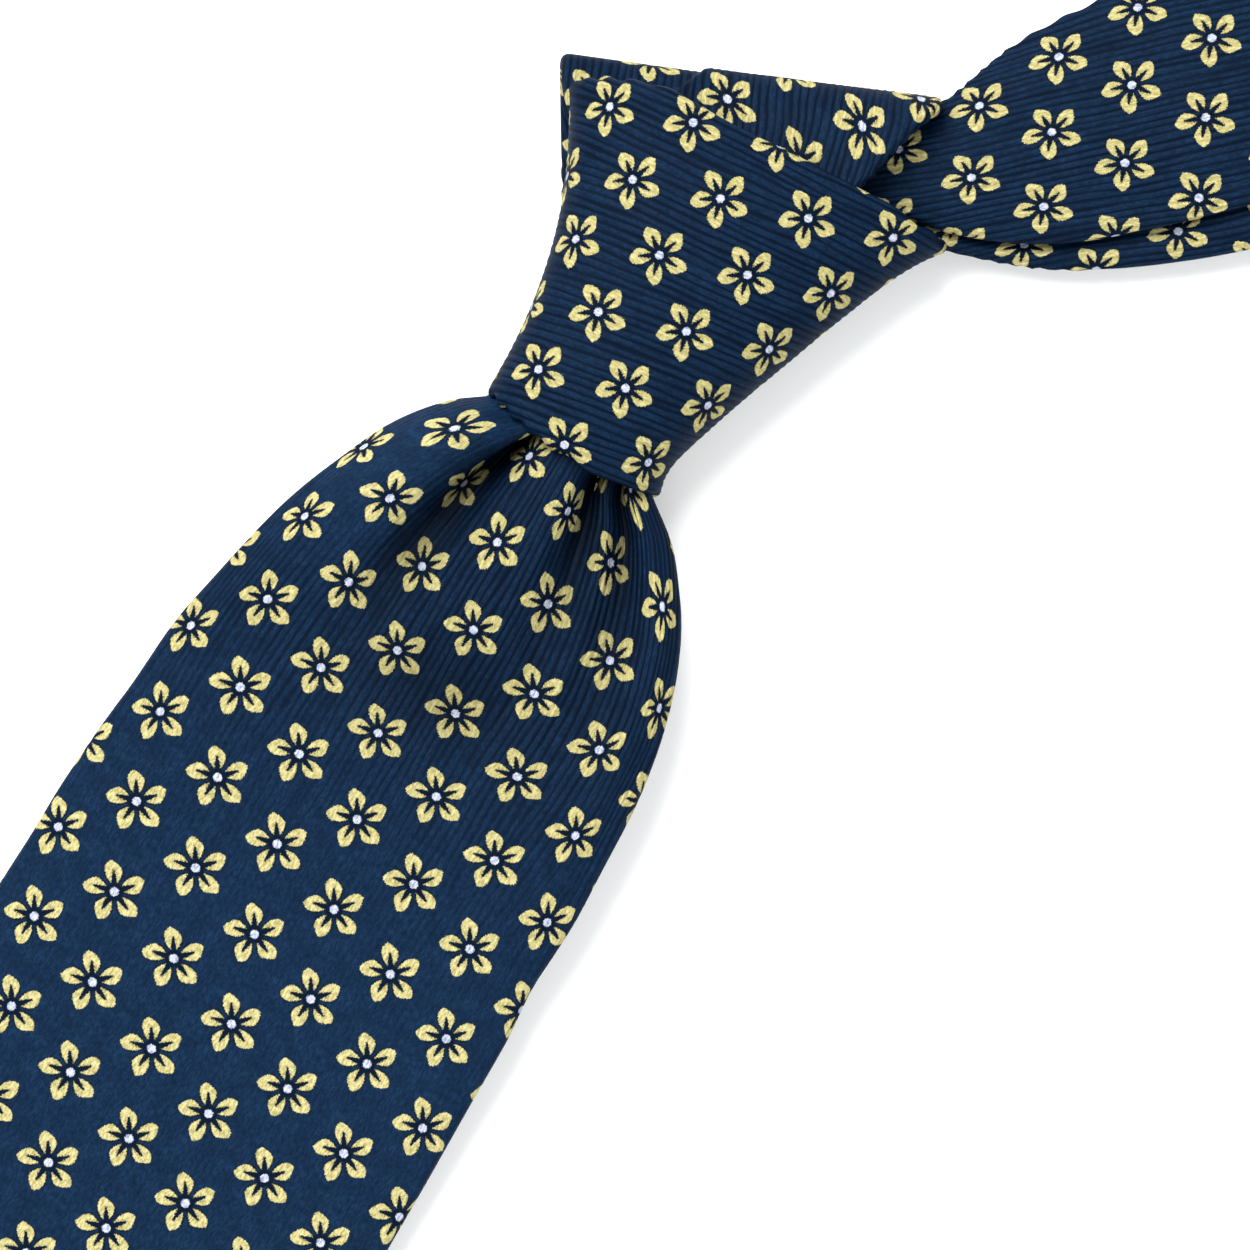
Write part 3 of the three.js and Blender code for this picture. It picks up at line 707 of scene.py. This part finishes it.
def make_face_wrap():
    """The face wrap as a sleeve round the knot. Its cloth coordinates are the length unrolled round the
    oval and the height; the ribs lie across, turning from 11 to 5 degrees of slant with height."""
    angle = np.radians(np.linspace(-62, 245, 131))[:, None]
    p = np.linspace(0.018, 0.982, 236)[None, :]
    face = face_wrap_surface(angle, p)
    round_length = lengths(face, 0)
    middle = np.argmin(np.abs(angle[:, 0] - np.pi / 2))
    unrolled = face[middle, :, 0] - (round_length - round_length[middle])
    u, v = laid_on_plan(unrolled, face[..., 1], np.radians(182), FACE_FLOWER, 0.96)
    slant = np.radians(mix(11.0, 5.0, p))
    rib_across = face[..., 1] * np.cos(slant) - unrolled * np.sin(slant)
    face = ribbed(face, rib_across, -unrolled, 0.075, 11)
    grid, gu, gv = folded(face, u, v, KNOT_RUN, 0.5, flap=8)
    behind = (grid.shape[1] - face.shape[1]) // 2
    ribs_left = rib_across[:, :1] + gu[:, :behind] - u[:, :1]
    ribs_right = rib_across[:, -1:] + gu[:, -behind:] - u[:, -1:]
    ribs = np.concatenate([ribs_left, rib_across, ribs_right], 1)
    core = core_of(face, every=4)
    return (sheet_mesh("face_wrap_cloth", grid, gu, gv, SILK_CLOTH, ribbing=0.95, ribs=(ribs, gv)),
            canvas_mesh("face_wrap_canvas", core, KNOT_RUN - 2 * CORE_GAP))


# The tuck's two edges, from the mouth up behind the face wrap, over the top fold and down the back.
TUCK_LEFT = np.array([
    (-9.0, -26, 16.8), (-9.5, -10, 16.0), (-10.5, 0.0, 14.8), (-18.6, 8.0, 14.2),
    (-25.6, 14.6, 13.4), (-28.5, 19.1, 10.6), (-28.4, 18.4, 5.4), (-24.6, 12.0, 1.4),
    (-17.2, 0.0, 0.3), (-9.5, -14, 0.2), (4.0, -24, 0.2),
])
TUCK_RIGHT = np.array([
    (9.5, -26, 16.8), (12, -4, 17.4), (15.4, 20, 17.4), (18.0, 33.3, 16.6),
    (19.4, 38.5, 14.2), (19.8, 40.3, 10.2), (19.8, 39.0, 4.2), (19.6, 33, 0.8),
    (18, 18, 0.2), (13, 0, 0.2), (10, -22, 0.2),
])


def make_tuck():
    """The tuck: straight lines ruled from its left edge to its right one, both smooth curves through named
    points, with one fold step along the left side, and ribs."""
    face = ruled(TUCK_LEFT, TUCK_RIGHT, 150, 210)
    u, v = cloth_coordinates(face, TUCK_FLOWER)
    across = face[..., 0] * 0.93 - face[..., 1] * 0.36
    step = 0.9 * smooth((across + 20.5) / 1.1) * smooth((face[..., 2] - 6) / 5)
    face = face + step[..., None] * normals(face)
    face = ribbed(face, u, v, 0.06 * smooth((across + 24) / 4), 21)
    grid, gu, gv = folded(face, u, v, KNOT_RUN, 0.5, flap=8)
    core = core_of(face[8:], inset=2.5, every=4)
    return (sheet_mesh("tuck_cloth", grid, gu, gv, SILK_CLOTH, ribbing=0.95),
            canvas_mesh("tuck_canvas", core, KNOT_RUN - 2 * CORE_GAP))


def make_cross_wrap():
    """The hidden first wrap: an oval inside the face wrap, open behind, as wide as the knot's waist leaves
    room for."""
    angle = np.radians(np.linspace(-70, 170, 90))[:, None]
    p = np.linspace(0, 1, 40)[None, :]
    c, s = np.cos(angle), np.sin(angle)
    half = mix(9.4, 15.5, p)
    x = mix(0.2, 1.0, p) + half * np.sign(c) * np.abs(c) ** 0.8
    y = mix(-25.5, 10.5, p)
    z = 8.0 + np.where(s > 0, 5.3, 4.9) * np.sign(s) * np.abs(s) ** 0.8
    face = points(x, y, z)
    u, v = cloth_coordinates(face, (0, 0))
    grid, gu, gv = folded(face, u, v, 1.9, 0.5, flap=4)
    core = core_of(face)
    return (sheet_mesh("cross_wrap_cloth", grid, gu, gv, SILK_CLOTH, ribbing=0.9),
            canvas_mesh("cross_wrap_canvas", core, 0.5))


def make_band_root():
    """The hidden end of the front side of the neck band, where it enters the knot behind the cross wrap."""
    start, end, half = np.array([26, 31.5]), np.array([-8, 16]), 4.5
    way = unit(end - start)
    side = np.array([way[1], -way[0]])
    t = np.linspace(0, 1, 40)[:, None]
    q = np.linspace(-half, half, 16)[None, :]
    x = start[0] + (end - start)[0] * t - side[0] * q
    y = start[1] + (end - start)[1] * t - side[1] * q
    face = points(x, y, 3.0)[:, ::-1]
    u, v = cloth_coordinates(face, (8, 24))
    grid, gu, gv = folded(face, u, v, 2.2, 0.8, flap=4)
    core = core_of(face)
    return (sheet_mesh("band_root_cloth", grid, gu, gv, SILK_CLOTH, ribbing=0.9),
            canvas_mesh("band_root_canvas", core, 0.8))


# ---- The neck loop ----

LOOP_START = np.array([4.0, 9.0])
LOOP_HEADING = np.radians(47.0)
ALONG = np.array([np.cos(LOOP_HEADING), np.sin(LOOP_HEADING)])
ASIDE = np.array([ALONG[1], -ALONG[0]])
LOOP_REACH = 222.0
LOOP_TOP = 16.5
BAND_HALF = 18.2
BAND_SPAN = 24.0
OVER_SEAM = 140.0
UNDER_SEAM = 118.0
SEAM_GAP = 0.2
RIB_LEAN = 0.06

# Across the band near the knot: how far across the cloth, the share of the way from the left edge to the
# crease (0 to 1) or on to the right edge (1 to 2), and the height.
BAND_PLEAT = np.array([
    (-24.0, 0.0, -1.4),
    (-20.0, 0.10, 0.0),
    (-12.0, 0.34, 1.0),
    (-2.0, 0.63, 1.3),
    (6.0, 0.86, 0.9),
    (10.5, 0.985, 0.1),
    (12.3, 1.02, -1.0),
    (14.0, 0.95, -2.1),
    (16.0, 0.93, -2.9),
    (18.0, 1.05, -2.7),
    (20.5, 1.50, -2.0),
    (24.0, 2.0, -2.9),
])


# The upper band's left edge, its crease and its right edge, seen from above: distances along the loop, and
# how far to the right of its middle each line is there.
BAND_LEFT = ([6, 20, 28, 35, 46, 60, 80, 140], [-6, -7, -7.8, -9.6, -14.2, -17.2, -18.6, -18.7])
BAND_CREASE = (
    [6, 20, 24, 30, 42, 58, 73, 110, 140],
    [2.5, 3.0, 4.2, 8.2, 13.4, 15.8, 16.4, 15.0, 14.0],
)
BAND_RIGHT = (
    [6, 20, 26, 30, 43, 57, 71, 95, 125, 140],
    [6, 7.0, 8.6, 10.9, 17.1, 20.4, 22.0, 20.8, 19.2, 18.8],
)


def band_point(s, q, z):
    """A point at distance s along the loop from its start, q to its right, at height z."""
    x = LOOP_START[0] + s * ALONG[0] + q * ASIDE[0]
    y = LOOP_START[1] + s * ALONG[1] + q * ASIDE[1]
    return points(x, y, z)


def over_height(s):
    """Height of the upper band: level with the knot's middle at first, rising evenly to the top of the far
    fold."""
    return mix(9.2, LOOP_TOP, smooth((s - 32) / (LOOP_REACH - 32)))


def over_band_surface(c, s):
    """The upper band: pleated where it leaves the knot, with a crease that it loses by half way to the far
    fold."""
    left = through(*BAND_LEFT, s)
    crease = through(*BAND_CREASE, s)
    right = through(*BAND_RIGHT, s)
    share = through(BAND_PLEAT[:, 0], BAND_PLEAT[:, 1], c)
    pleated = np.where(share < 1, mix(left, crease, share), mix(crease, right, share - 1))
    opened = mix(left, right, (c + BAND_SPAN) / (2 * BAND_SPAN))
    hold = 1 - smooth((s - 78) / 45)
    q = mix(opened, pleated, hold)
    level = 1.3 - 1.5 * (c / BAND_SPAN) ** 6
    z = over_height(s) + mix(level, through(BAND_PLEAT[:, 0], BAND_PLEAT[:, 2], c), hold)
    return band_point(s, q, z)


def make_over_band():
    """The upper band as a sleeve from the knot to its 45 degree seam. Across is measured along the surface,
    gathered by 16 percent at the knot."""
    c = np.linspace(-BAND_SPAN, BAND_SPAN, 230)[None, :]
    seam = OVER_SEAM + c / BAND_SPAN * BAND_HALF - SEAM_GAP
    s = mix(8.0, seam, np.linspace(0, 1, 140)[:, None])
    face = over_band_surface(c, s)
    u, v = laid_on_plan(face[..., 0], face[..., 1], np.radians(46), BAND_FLOWER)
    across = lengths(face, 1)
    middle = 80
    gathered = 1.16 - 0.16 * smooth((s - 34) / 40)
    u = u[:, [middle]] + (across - across[:, [middle]]) * gathered
    face = ribbed(face, u - RIB_LEAN * v, v, 0.07 * (1 - 0.75 * smooth((s - 70) / 50)), 31)
    grid, gu, gv = folded(face, u, v, 1.6, 0.45, flap=8)
    strength = 0.85 * (1 - 0.8 * smooth((gv - gv.min() - 70) / 60))
    return sheet_mesh("neck_band_tail_side_cloth", grid, gu, gv, SILK_CLOTH, ribbing=strength,
                      ribs=(gu - RIB_LEAN * gv, gv)), face


def band_half(s):
    """Half the width of the loop where it isn't pleated."""
    return mix(7.0, 19.5, smooth((s - 32) / 46))


def under_height(s):
    """Height of the lower band's downward face: it sinks from the knot to the table in one smooth step."""
    return mix(4.2, 1.3, smooth((s - 32) / 30)) - BAND_RUN / 2


def make_neck_piece():
    """The middle of the loop. A path goes out along the upper band, half a turn round the far fold and back
    along the lower band; the cloth is carried along it, with both ends cut at 45 degrees."""
    top, bottom = LOOP_TOP + BAND_RUN / 2, under_height(LOOP_REACH)
    turn_r, middle = (top - bottom) / 2, (top + bottom) / 2
    fold_at = LOOP_REACH - turn_r
    out = fold_at - OVER_SEAM
    round_fold = np.pi * turn_r
    back = fold_at - UNDER_SEAM
    q = np.linspace(-BAND_HALF, BAND_HALF, 100)[None, :]
    t = np.linspace(0, 1, 210)[:, None]
    path = mix(q, out + round_fold + back - q, t)
    bend = np.clip((path - out) / turn_r, 0, np.pi)
    going, turning = path < out, bend < np.pi
    s = np.where(turning, fold_at + turn_r * np.sin(bend), fold_at - (path - out - round_fold))
    s = np.where(going, OVER_SEAM + path, s)
    z = np.where(turning, middle + turn_r * np.cos(bend), under_height(s))
    z = np.where(going, over_height(s) + BAND_RUN / 2, z)
    crown = 0.5 * (1 - (q / BAND_HALF) ** 2) * (1 - 0.95 * smooth(bend / np.pi))
    face = band_point(s, q, z)
    face = face + crown[..., None] * normals(face)
    u, v = cloth_coordinates(face, (118, 128), np.radians(1.0))
    face = ribbed(face, u, v, 0.05, 41)
    grid, gu, gv = folded(face, u, v, BAND_RUN, 0.95, flap=8)
    return sheet_mesh("neck_piece_cloth", grid, gu, gv, SILK_CLOTH, ribbing=0.2), face


def make_under_band():
    """The lower band, from its seam back to the knot, face down."""
    q = np.linspace(-1, 1, 90)[None, :]
    t = np.linspace(0, 1, 120)[:, None]
    seam = UNDER_SEAM + q * BAND_HALF - SEAM_GAP
    s = mix(seam, 33.0, t)
    half = band_half(s) - 1.3
    face = band_point(s, q * half, under_height(s) - 0.05 * (1 - q ** 2))
    u, v = cloth_coordinates(face, (60, 62), np.radians(1.0))
    face = ribbed(face, u, v, 0.05, 45)
    grid, gu, gv = folded(face, u, v, BAND_RUN, 0.95, flap=8)
    return sheet_mesh("neck_band_front_side_cloth", grid, gu, gv, SILK_CLOTH, ribbing=0.4), face


# ---- The tail ----

TAIL_TOP = 2.0
TAIL_LENGTH = 350.0
TAIL_TIPPING = 70.0


def tail_half(d):
    """Half the tail's width at distance d below the knot: narrow in the knot's grip, then a slow taper to a
    point."""
    free = mix(6.8, 17.5, smooth((d - 34) / 36))
    tapered = mix(free, 22.0, np.maximum(d - 70, 0) / (TAIL_LENGTH - 70))
    return np.minimum(tapered, np.maximum(TAIL_LENGTH - d, 0.6))


def tail_surface(u, d):
    """Where the tail's cloth at (u, d) lies: straight down from the knot, sinking in one smooth step from
    the knot's middle to the table, with edges bent down by the fourth power of u."""
    x = u + mix(0.2, 0.0, smooth((d - 34) / 40))
    rest = mix(8.0, 1.65, smooth((d - 34) / 56))
    z = rest + BAND_RUN / 2 - 0.5 * (np.abs(u) / tail_half(d)) ** 4 * smooth(d / 60)
    return points(x, KNOT_BOTTOM - d, z)


def make_tail():
    """The tail as a sleeve, from the tip up through the knot's grip to its hidden upper end."""
    top = KNOT_BOTTOM - TAIL_TOP
    d = np.linspace(TAIL_LENGTH - 1.5, top, 230)[:, None]
    half = tail_half(d)
    u = (half - np.minimum(BAND_RUN / 2, half * 0.4)) * np.linspace(-1, 1, 71)[None, :]
    face = tail_surface(u, d)
    d_all = np.broadcast_to(d, u.shape)
    face = ribbed(face, u, d_all, 0.05, 51)
    share = 1 - slit_half(half, d, TAIL_LENGTH, TAIL_TIPPING)[:, 0] / half[:, 0]
    run = np.minimum(BAND_RUN, half[:, 0] * 0.8)
    v = KNOT_BOTTOM - d_all
    grid, gu, gv = folded(face, u + 3.1, v + 5.2, run, share)
    core = core_of(face[5:], inset=1.8)
    return (sheet_mesh("tail_cloth", grid, gu, gv, SILK_CLOTH, ribbing=0.15),
            canvas_mesh("tail_canvas", core, 0.8))


# ---- Linings, stitches, keeper and label ----

def tipping_mesh(name, surface, half_of, length, tipping, run):
    """The satin behind a tip: the blade's own surface moved in to just inside the back flaps, with soft
    creases."""
    d = np.linspace(length - 7, length - tipping * 0.95, 90)[:, None]
    half = half_of(d)
    u = np.maximum(half - 3.0, 0.4) * np.linspace(-1, 1, 61)[None, :]
    face = surface(u, d)
    inner = face - (run - SILK - 0.35) * normals(face)
    inner = ribbed(inner, u * 0.4, np.broadcast_to(d, u.shape), 0.06, 61)
    return sheet_mesh(name, inner, *plain_coordinates(inner), SATIN, thick=0.25)


def thread_mesh(name, path, radius, sides=6):
    """A round thread carried along a path of points in the frame that turns with the path, with both ends
    pinched shut."""
    path = np.asarray(path, float)
    along = unit(np.gradient(path, axis=0))
    up = np.tile([0.0, 0.0, 1.0], (len(path), 1))
    side = unit(np.cross(along, up))
    rise = np.cross(side, along)
    angle = np.linspace(0, 2 * np.pi, sides, endpoint=False)
    size = np.full(len(path), radius)
    size[[0, -1]] = 0.001
    ring = side[:, None] * np.cos(angle)[None, :, None] + rise[:, None] * np.sin(angle)[None, :, None]
    grid = path[:, None] + ring * size[:, None, None]
    grid = np.concatenate([grid, grid[:, :1]], 1)[:, ::-1]
    return sheet_mesh(name, grid, *plain_coordinates(grid), THREAD, thick=0)


def zigzag(count, half):
    """Side-to-side places of a hand stitch: a rounded triangle wave, with the threads drawn in at each
    turn."""
    t = np.arange(count * 8 + 1) / 8
    return t, half * np.clip(1.6 * np.sin(t * np.pi), -1, 1)


def make_slip_stitch(name, surface, length, tipping, start, run, stitches):
    """The back seam's hand stitch: a zigzag carried down the middle of the back at an even pitch."""
    t, side = zigzag(stitches, 1.5)
    d = start + (length - tipping - start) * t / stitches
    back = surface(np.zeros_like(d), d) - [0, 0, run + 0.12]
    back[:, 0] += side
    return thread_mesh(name, back, 0.16)


def make_bar_tack(name, surface, length, tipping, run, half):
    """The bar tack that closes the back seam: ten passes of a wide zigzag, two millimetres long."""
    t, side = zigzag(10, half)
    d = length - tipping * 0.86 + 2.0 * t / 10
    back = surface(np.zeros_like(d), d) - [0, 0, run + 0.16]
    back[:, 0] += side
    return thread_mesh(name, back, 0.2)


def make_seam(name, at, height, out):
    """A sewn seam across the loop at 45 degrees: one thread that zigzags across the gap between the two
    cloths."""
    q, side = zigzag(22, 1.0)
    q = (q / q[-1] * 2 - 1) * 16.5
    s = at + q - SEAM_GAP / 2 + side * 0.9
    return thread_mesh(name, band_point(s, q, height(s) + out), 0.14)


KEEPER_Y = -293.0
LABEL_Y = -328.0


def strip_on_back(x_half, y_middle, y_half, z, sag, rows=90, columns=30):
    """A strip across the blade's back, face down: flat but for a small sag in the middle and a faint
    waviness."""
    x = np.linspace(-x_half, x_half, rows)[:, None]
    y = y_middle + np.linspace(-y_half, y_half, columns)[None, :]
    wave = 0.05 * unevenness(x / 6, y / 4, 71)
    return points(x, y, z - sag * (1 - (x / x_half) ** 4) + wave)


def make_keeper():
    """The keeper: a strip of the same silk across the blade's back, its long edges folded under."""
    face = strip_on_back(29.6, KEEPER_Y, 4.6, 3.62, 0.15)
    u, v = cloth_coordinates(face, (3, KEEPER_Y + 1))
    grid, gu, gv = folded(face, u, v, 0.75, 0.9, turn=5, flap=5)
    return sheet_mesh("keeper_strap", grid, gu, gv, SILK_CLOTH, thick=0.2, ribbing=0.2)


def make_label():
    """The blank label: one flat woven strip."""
    face = strip_on_back(27, LABEL_Y, 11, 4.02, 0.0)
    return sheet_mesh("label_patch", face, *plain_coordinates(face), LABEL, thick=0.3)


def make_edge_stitch(name, x, y_middle, y_half, z, reach, count):
    """A row of small stitches over a strip's end: a thread that zigzags across the edge while it goes along
    it."""
    t, side = zigzag(count, reach)
    y = y_middle - y_half + 2 * y_half * t / count
    return thread_mesh(name, np.stack([x + side, y, np.full_like(y, z)], -1), 0.13)


# ---- Stage ----

def make_stage():
    """A pale level floor, a broad soft light above and to the left, a weaker one on the right, and a pale
    sky."""
    m = Nodes("pale_floor")
    floor_material = m.finish((0.96, 0.96, 0.96, 1), roughness=0.9, specular_ior_level=0.1)
    mesh = bpy.data.meshes.new("floor")
    half, z = 6.0, -0.0003
    corners = [(-half, -half, z), (half, -half, z), (half, half, z), (-half, half, z)]
    mesh.from_pydata(corners, [], [(0, 1, 2, 3)])
    mesh.materials.append(floor_material)
    floor = bpy.data.objects.new("floor", mesh)
    bpy.context.scene.collection.objects.link(floor)
    world = bpy.data.worlds.new("pale_sky")
    world.use_nodes = True
    sky = world.node_tree.nodes["Background"]
    sky.inputs["Color"].default_value = (0.93, 0.97, 1.0, 1)
    sky.inputs["Strength"].default_value = 0.74
    bpy.context.scene.world = world
    for name, place, size, power in (
        ("key_light", (-0.75, 0.35, 1.15), 1.1, 42.0),
        ("fill_light", (0.9, -0.5, 1.1), 1.4, 14.0),
    ):
        lamp = bpy.data.lights.new(name, "AREA")
        lamp.shape = "DISK"
        lamp.size = size
        lamp.energy = power
        held = bpy.data.objects.new(name, lamp)
        held.location = place
        held.rotation_euler = (Vector((0.0, 0.0, 0.0)) - Vector(place)).to_track_quat("-Z", "Y").to_euler()
        bpy.context.scene.collection.objects.link(held)


def make_camera():
    """A long lens straight above, turned so that the blade runs to the lower left and the loop to the upper
    right. Its distance makes the frame the given width at half the knot's height: the width times the focal
    length over the sensor's width."""
    width, knot_middle = 0.17875, 0.010
    turn = np.radians(31.0)
    aim = Vector((0.02008, -0.04659, knot_middle))
    lens = bpy.data.cameras.new("camera")
    lens.lens = 200
    lens.sensor_width = 36
    away = Vector((0, 0, width * lens.lens / lens.sensor_width))
    held = bpy.data.objects.new("camera", lens)
    held.matrix_world = Matrix.Translation(aim + away) @ Matrix.Rotation(turn, 4, "Z")
    bpy.context.scene.collection.objects.link(held)
    bpy.context.scene.camera = held
    bpy.context.scene.view_settings.view_transform = "Standard"


make_camera()
make_stage()


def declare(piece, body, nodes):
    """A finished piece: the CAD nodes it stands for are hidden, and it is attached to its body, or has its
    placement baked into its mesh where the body is a bend."""
    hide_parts(*nodes)
    if isinstance(body, str):
        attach(piece, body)
    elif body is not None:
        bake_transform(piece)


FRONT_BEND = ("knot", "front_blade", (0, -0.027, 0.0156), (0, -0.052, 0.0156))
TAIL_BEND = ("tail_grip", "tail_blade", (0, -0.027, 0.008), (0, -0.040, 0.008))

front_cloth, front_canvas = make_front_blade()
declare(front_cloth, FRONT_BEND, ["front_blade_shell"])
declare(front_canvas, FRONT_BEND, ["front_blade_interlining"])
front_tipping = tipping_mesh("front_blade_lining", front_surface, front_half, FRONT_LENGTH, FRONT_TIPPING,
                             BLADE_RUN)
declare(front_tipping, "front_blade", ["front_blade_tipping"])

wrap_cloth, wrap_canvas = make_face_wrap()
declare(wrap_cloth, "knot", ["knot_face_wrap_shell"])
declare(wrap_canvas, "knot", ["knot_face_wrap_interlining"])
tuck_cloth, tuck_canvas = make_tuck()
declare(tuck_cloth, "knot", ["knot_tuck_shell"])
declare(tuck_canvas, "knot", ["knot_tuck_interlining"])
cross_cloth, cross_canvas = make_cross_wrap()
declare(cross_cloth, "knot", ["knot_cross_wrap_shell"])
declare(cross_canvas, "knot", ["knot_cross_wrap_interlining"])
root_cloth, root_canvas = make_band_root()
declare(root_cloth, "knot", ["neck_band_root_shell"])
declare(root_canvas, "knot", ["neck_band_root_interlining"])

over_cloth, over_face = make_over_band()
neck_cloth, neck_face = make_neck_piece()
under_cloth, under_face = make_under_band()


def tighten(piece):
    """A piece of the loop gets its own copy of its mesh."""
    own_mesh(piece)


pieces = [
    (over_cloth, "woven_silk", "neck_band_tail_side_shell", (0.08, 0.13), 0.00825),
    (neck_cloth, "woven_silk", "neck_piece_shell", (0.08, 0.20), 0.0152),
    (under_cloth, "woven_silk", "neck_band_front_side_shell", (0.08, 0.085), 0.00563),
]
for piece, slot, node, flat, area in pieces:
    declare(piece, "knot", [node])
    tighten(piece)

tail_cloth, tail_canvas = make_tail()
tail_nodes = ["tail_grip_shell", "tail_blade_shell"]
tail_canvas_nodes = ["tail_grip_interlining", "tail_blade_interlining"]
declare(tail_cloth, TAIL_BEND, tail_nodes)
declare(tail_canvas, TAIL_BEND, tail_canvas_nodes)
for name, faces, length, area in (
    ("neck_canvas_upper", over_face[32:, :140], 0.12, 0.00218),
    ("neck_canvas_middle", neck_face, 0.19, 0.00643),
    ("neck_canvas_lower", under_face, 0.08, 0.00224),
):
    canvas = canvas_mesh(name, core_of(faces, inset=1.8), 0.9)
    declare(canvas, "knot", ["neck_interlining"])
    tighten(canvas)
for name, node, at, height, out in (
    ("tail_neck_seam_thread", "tail_neck_seam", OVER_SEAM, over_height, 1.15),
    ("front_neck_seam_thread", "front_neck_seam", UNDER_SEAM, under_height, 0.15),
):
    seam = make_seam(name, at, height, out)
    declare(seam, "knot", [node])
    tighten(seam)
for side, surface, length, tipping, run, stitches, tack_half in (
    ("front", front_surface, FRONT_LENGTH, FRONT_TIPPING, BLADE_RUN, 34, 3.4),
    ("tail", tail_surface, TAIL_LENGTH, TAIL_TIPPING, BAND_RUN, 30, 2.6),
):
    blade = side + "_blade"
    slip = make_slip_stitch(side + "_slip_stitch_thread", surface, length, tipping, 44, run, stitches)
    declare(slip, blade, [blade + "_slip_stitch"])
    tack = make_bar_tack(side + "_bar_tack_thread", surface, length, tipping, run, tack_half)
    declare(tack, blade, [blade + "_bar_tack"])

declare(make_keeper(), "front_blade", ["keeper_loop"])
declare(make_label(), "front_blade", ["blank_label"])
for side, sign in (("left", -1), ("right", 1)):
    declare(make_edge_stitch("keeper_stitches_" + side, sign * 27.6, KEEPER_Y, 4.2, 3.42, 1.3, 7),
            "front_blade", ["keeper_stitch_" + side])
    declare(make_edge_stitch("label_stitches_" + side, sign * 26.2, LABEL_Y, 10.4, 3.95, 0.9, 18),
            "front_blade", ["label_stitch_" + side])

tail_tipping = tipping_mesh("tail_lining", tail_surface, tail_half, TAIL_LENGTH, TAIL_TIPPING, BAND_RUN)
declare(tail_tipping, "tail_blade", ["tail_blade_tipping"])
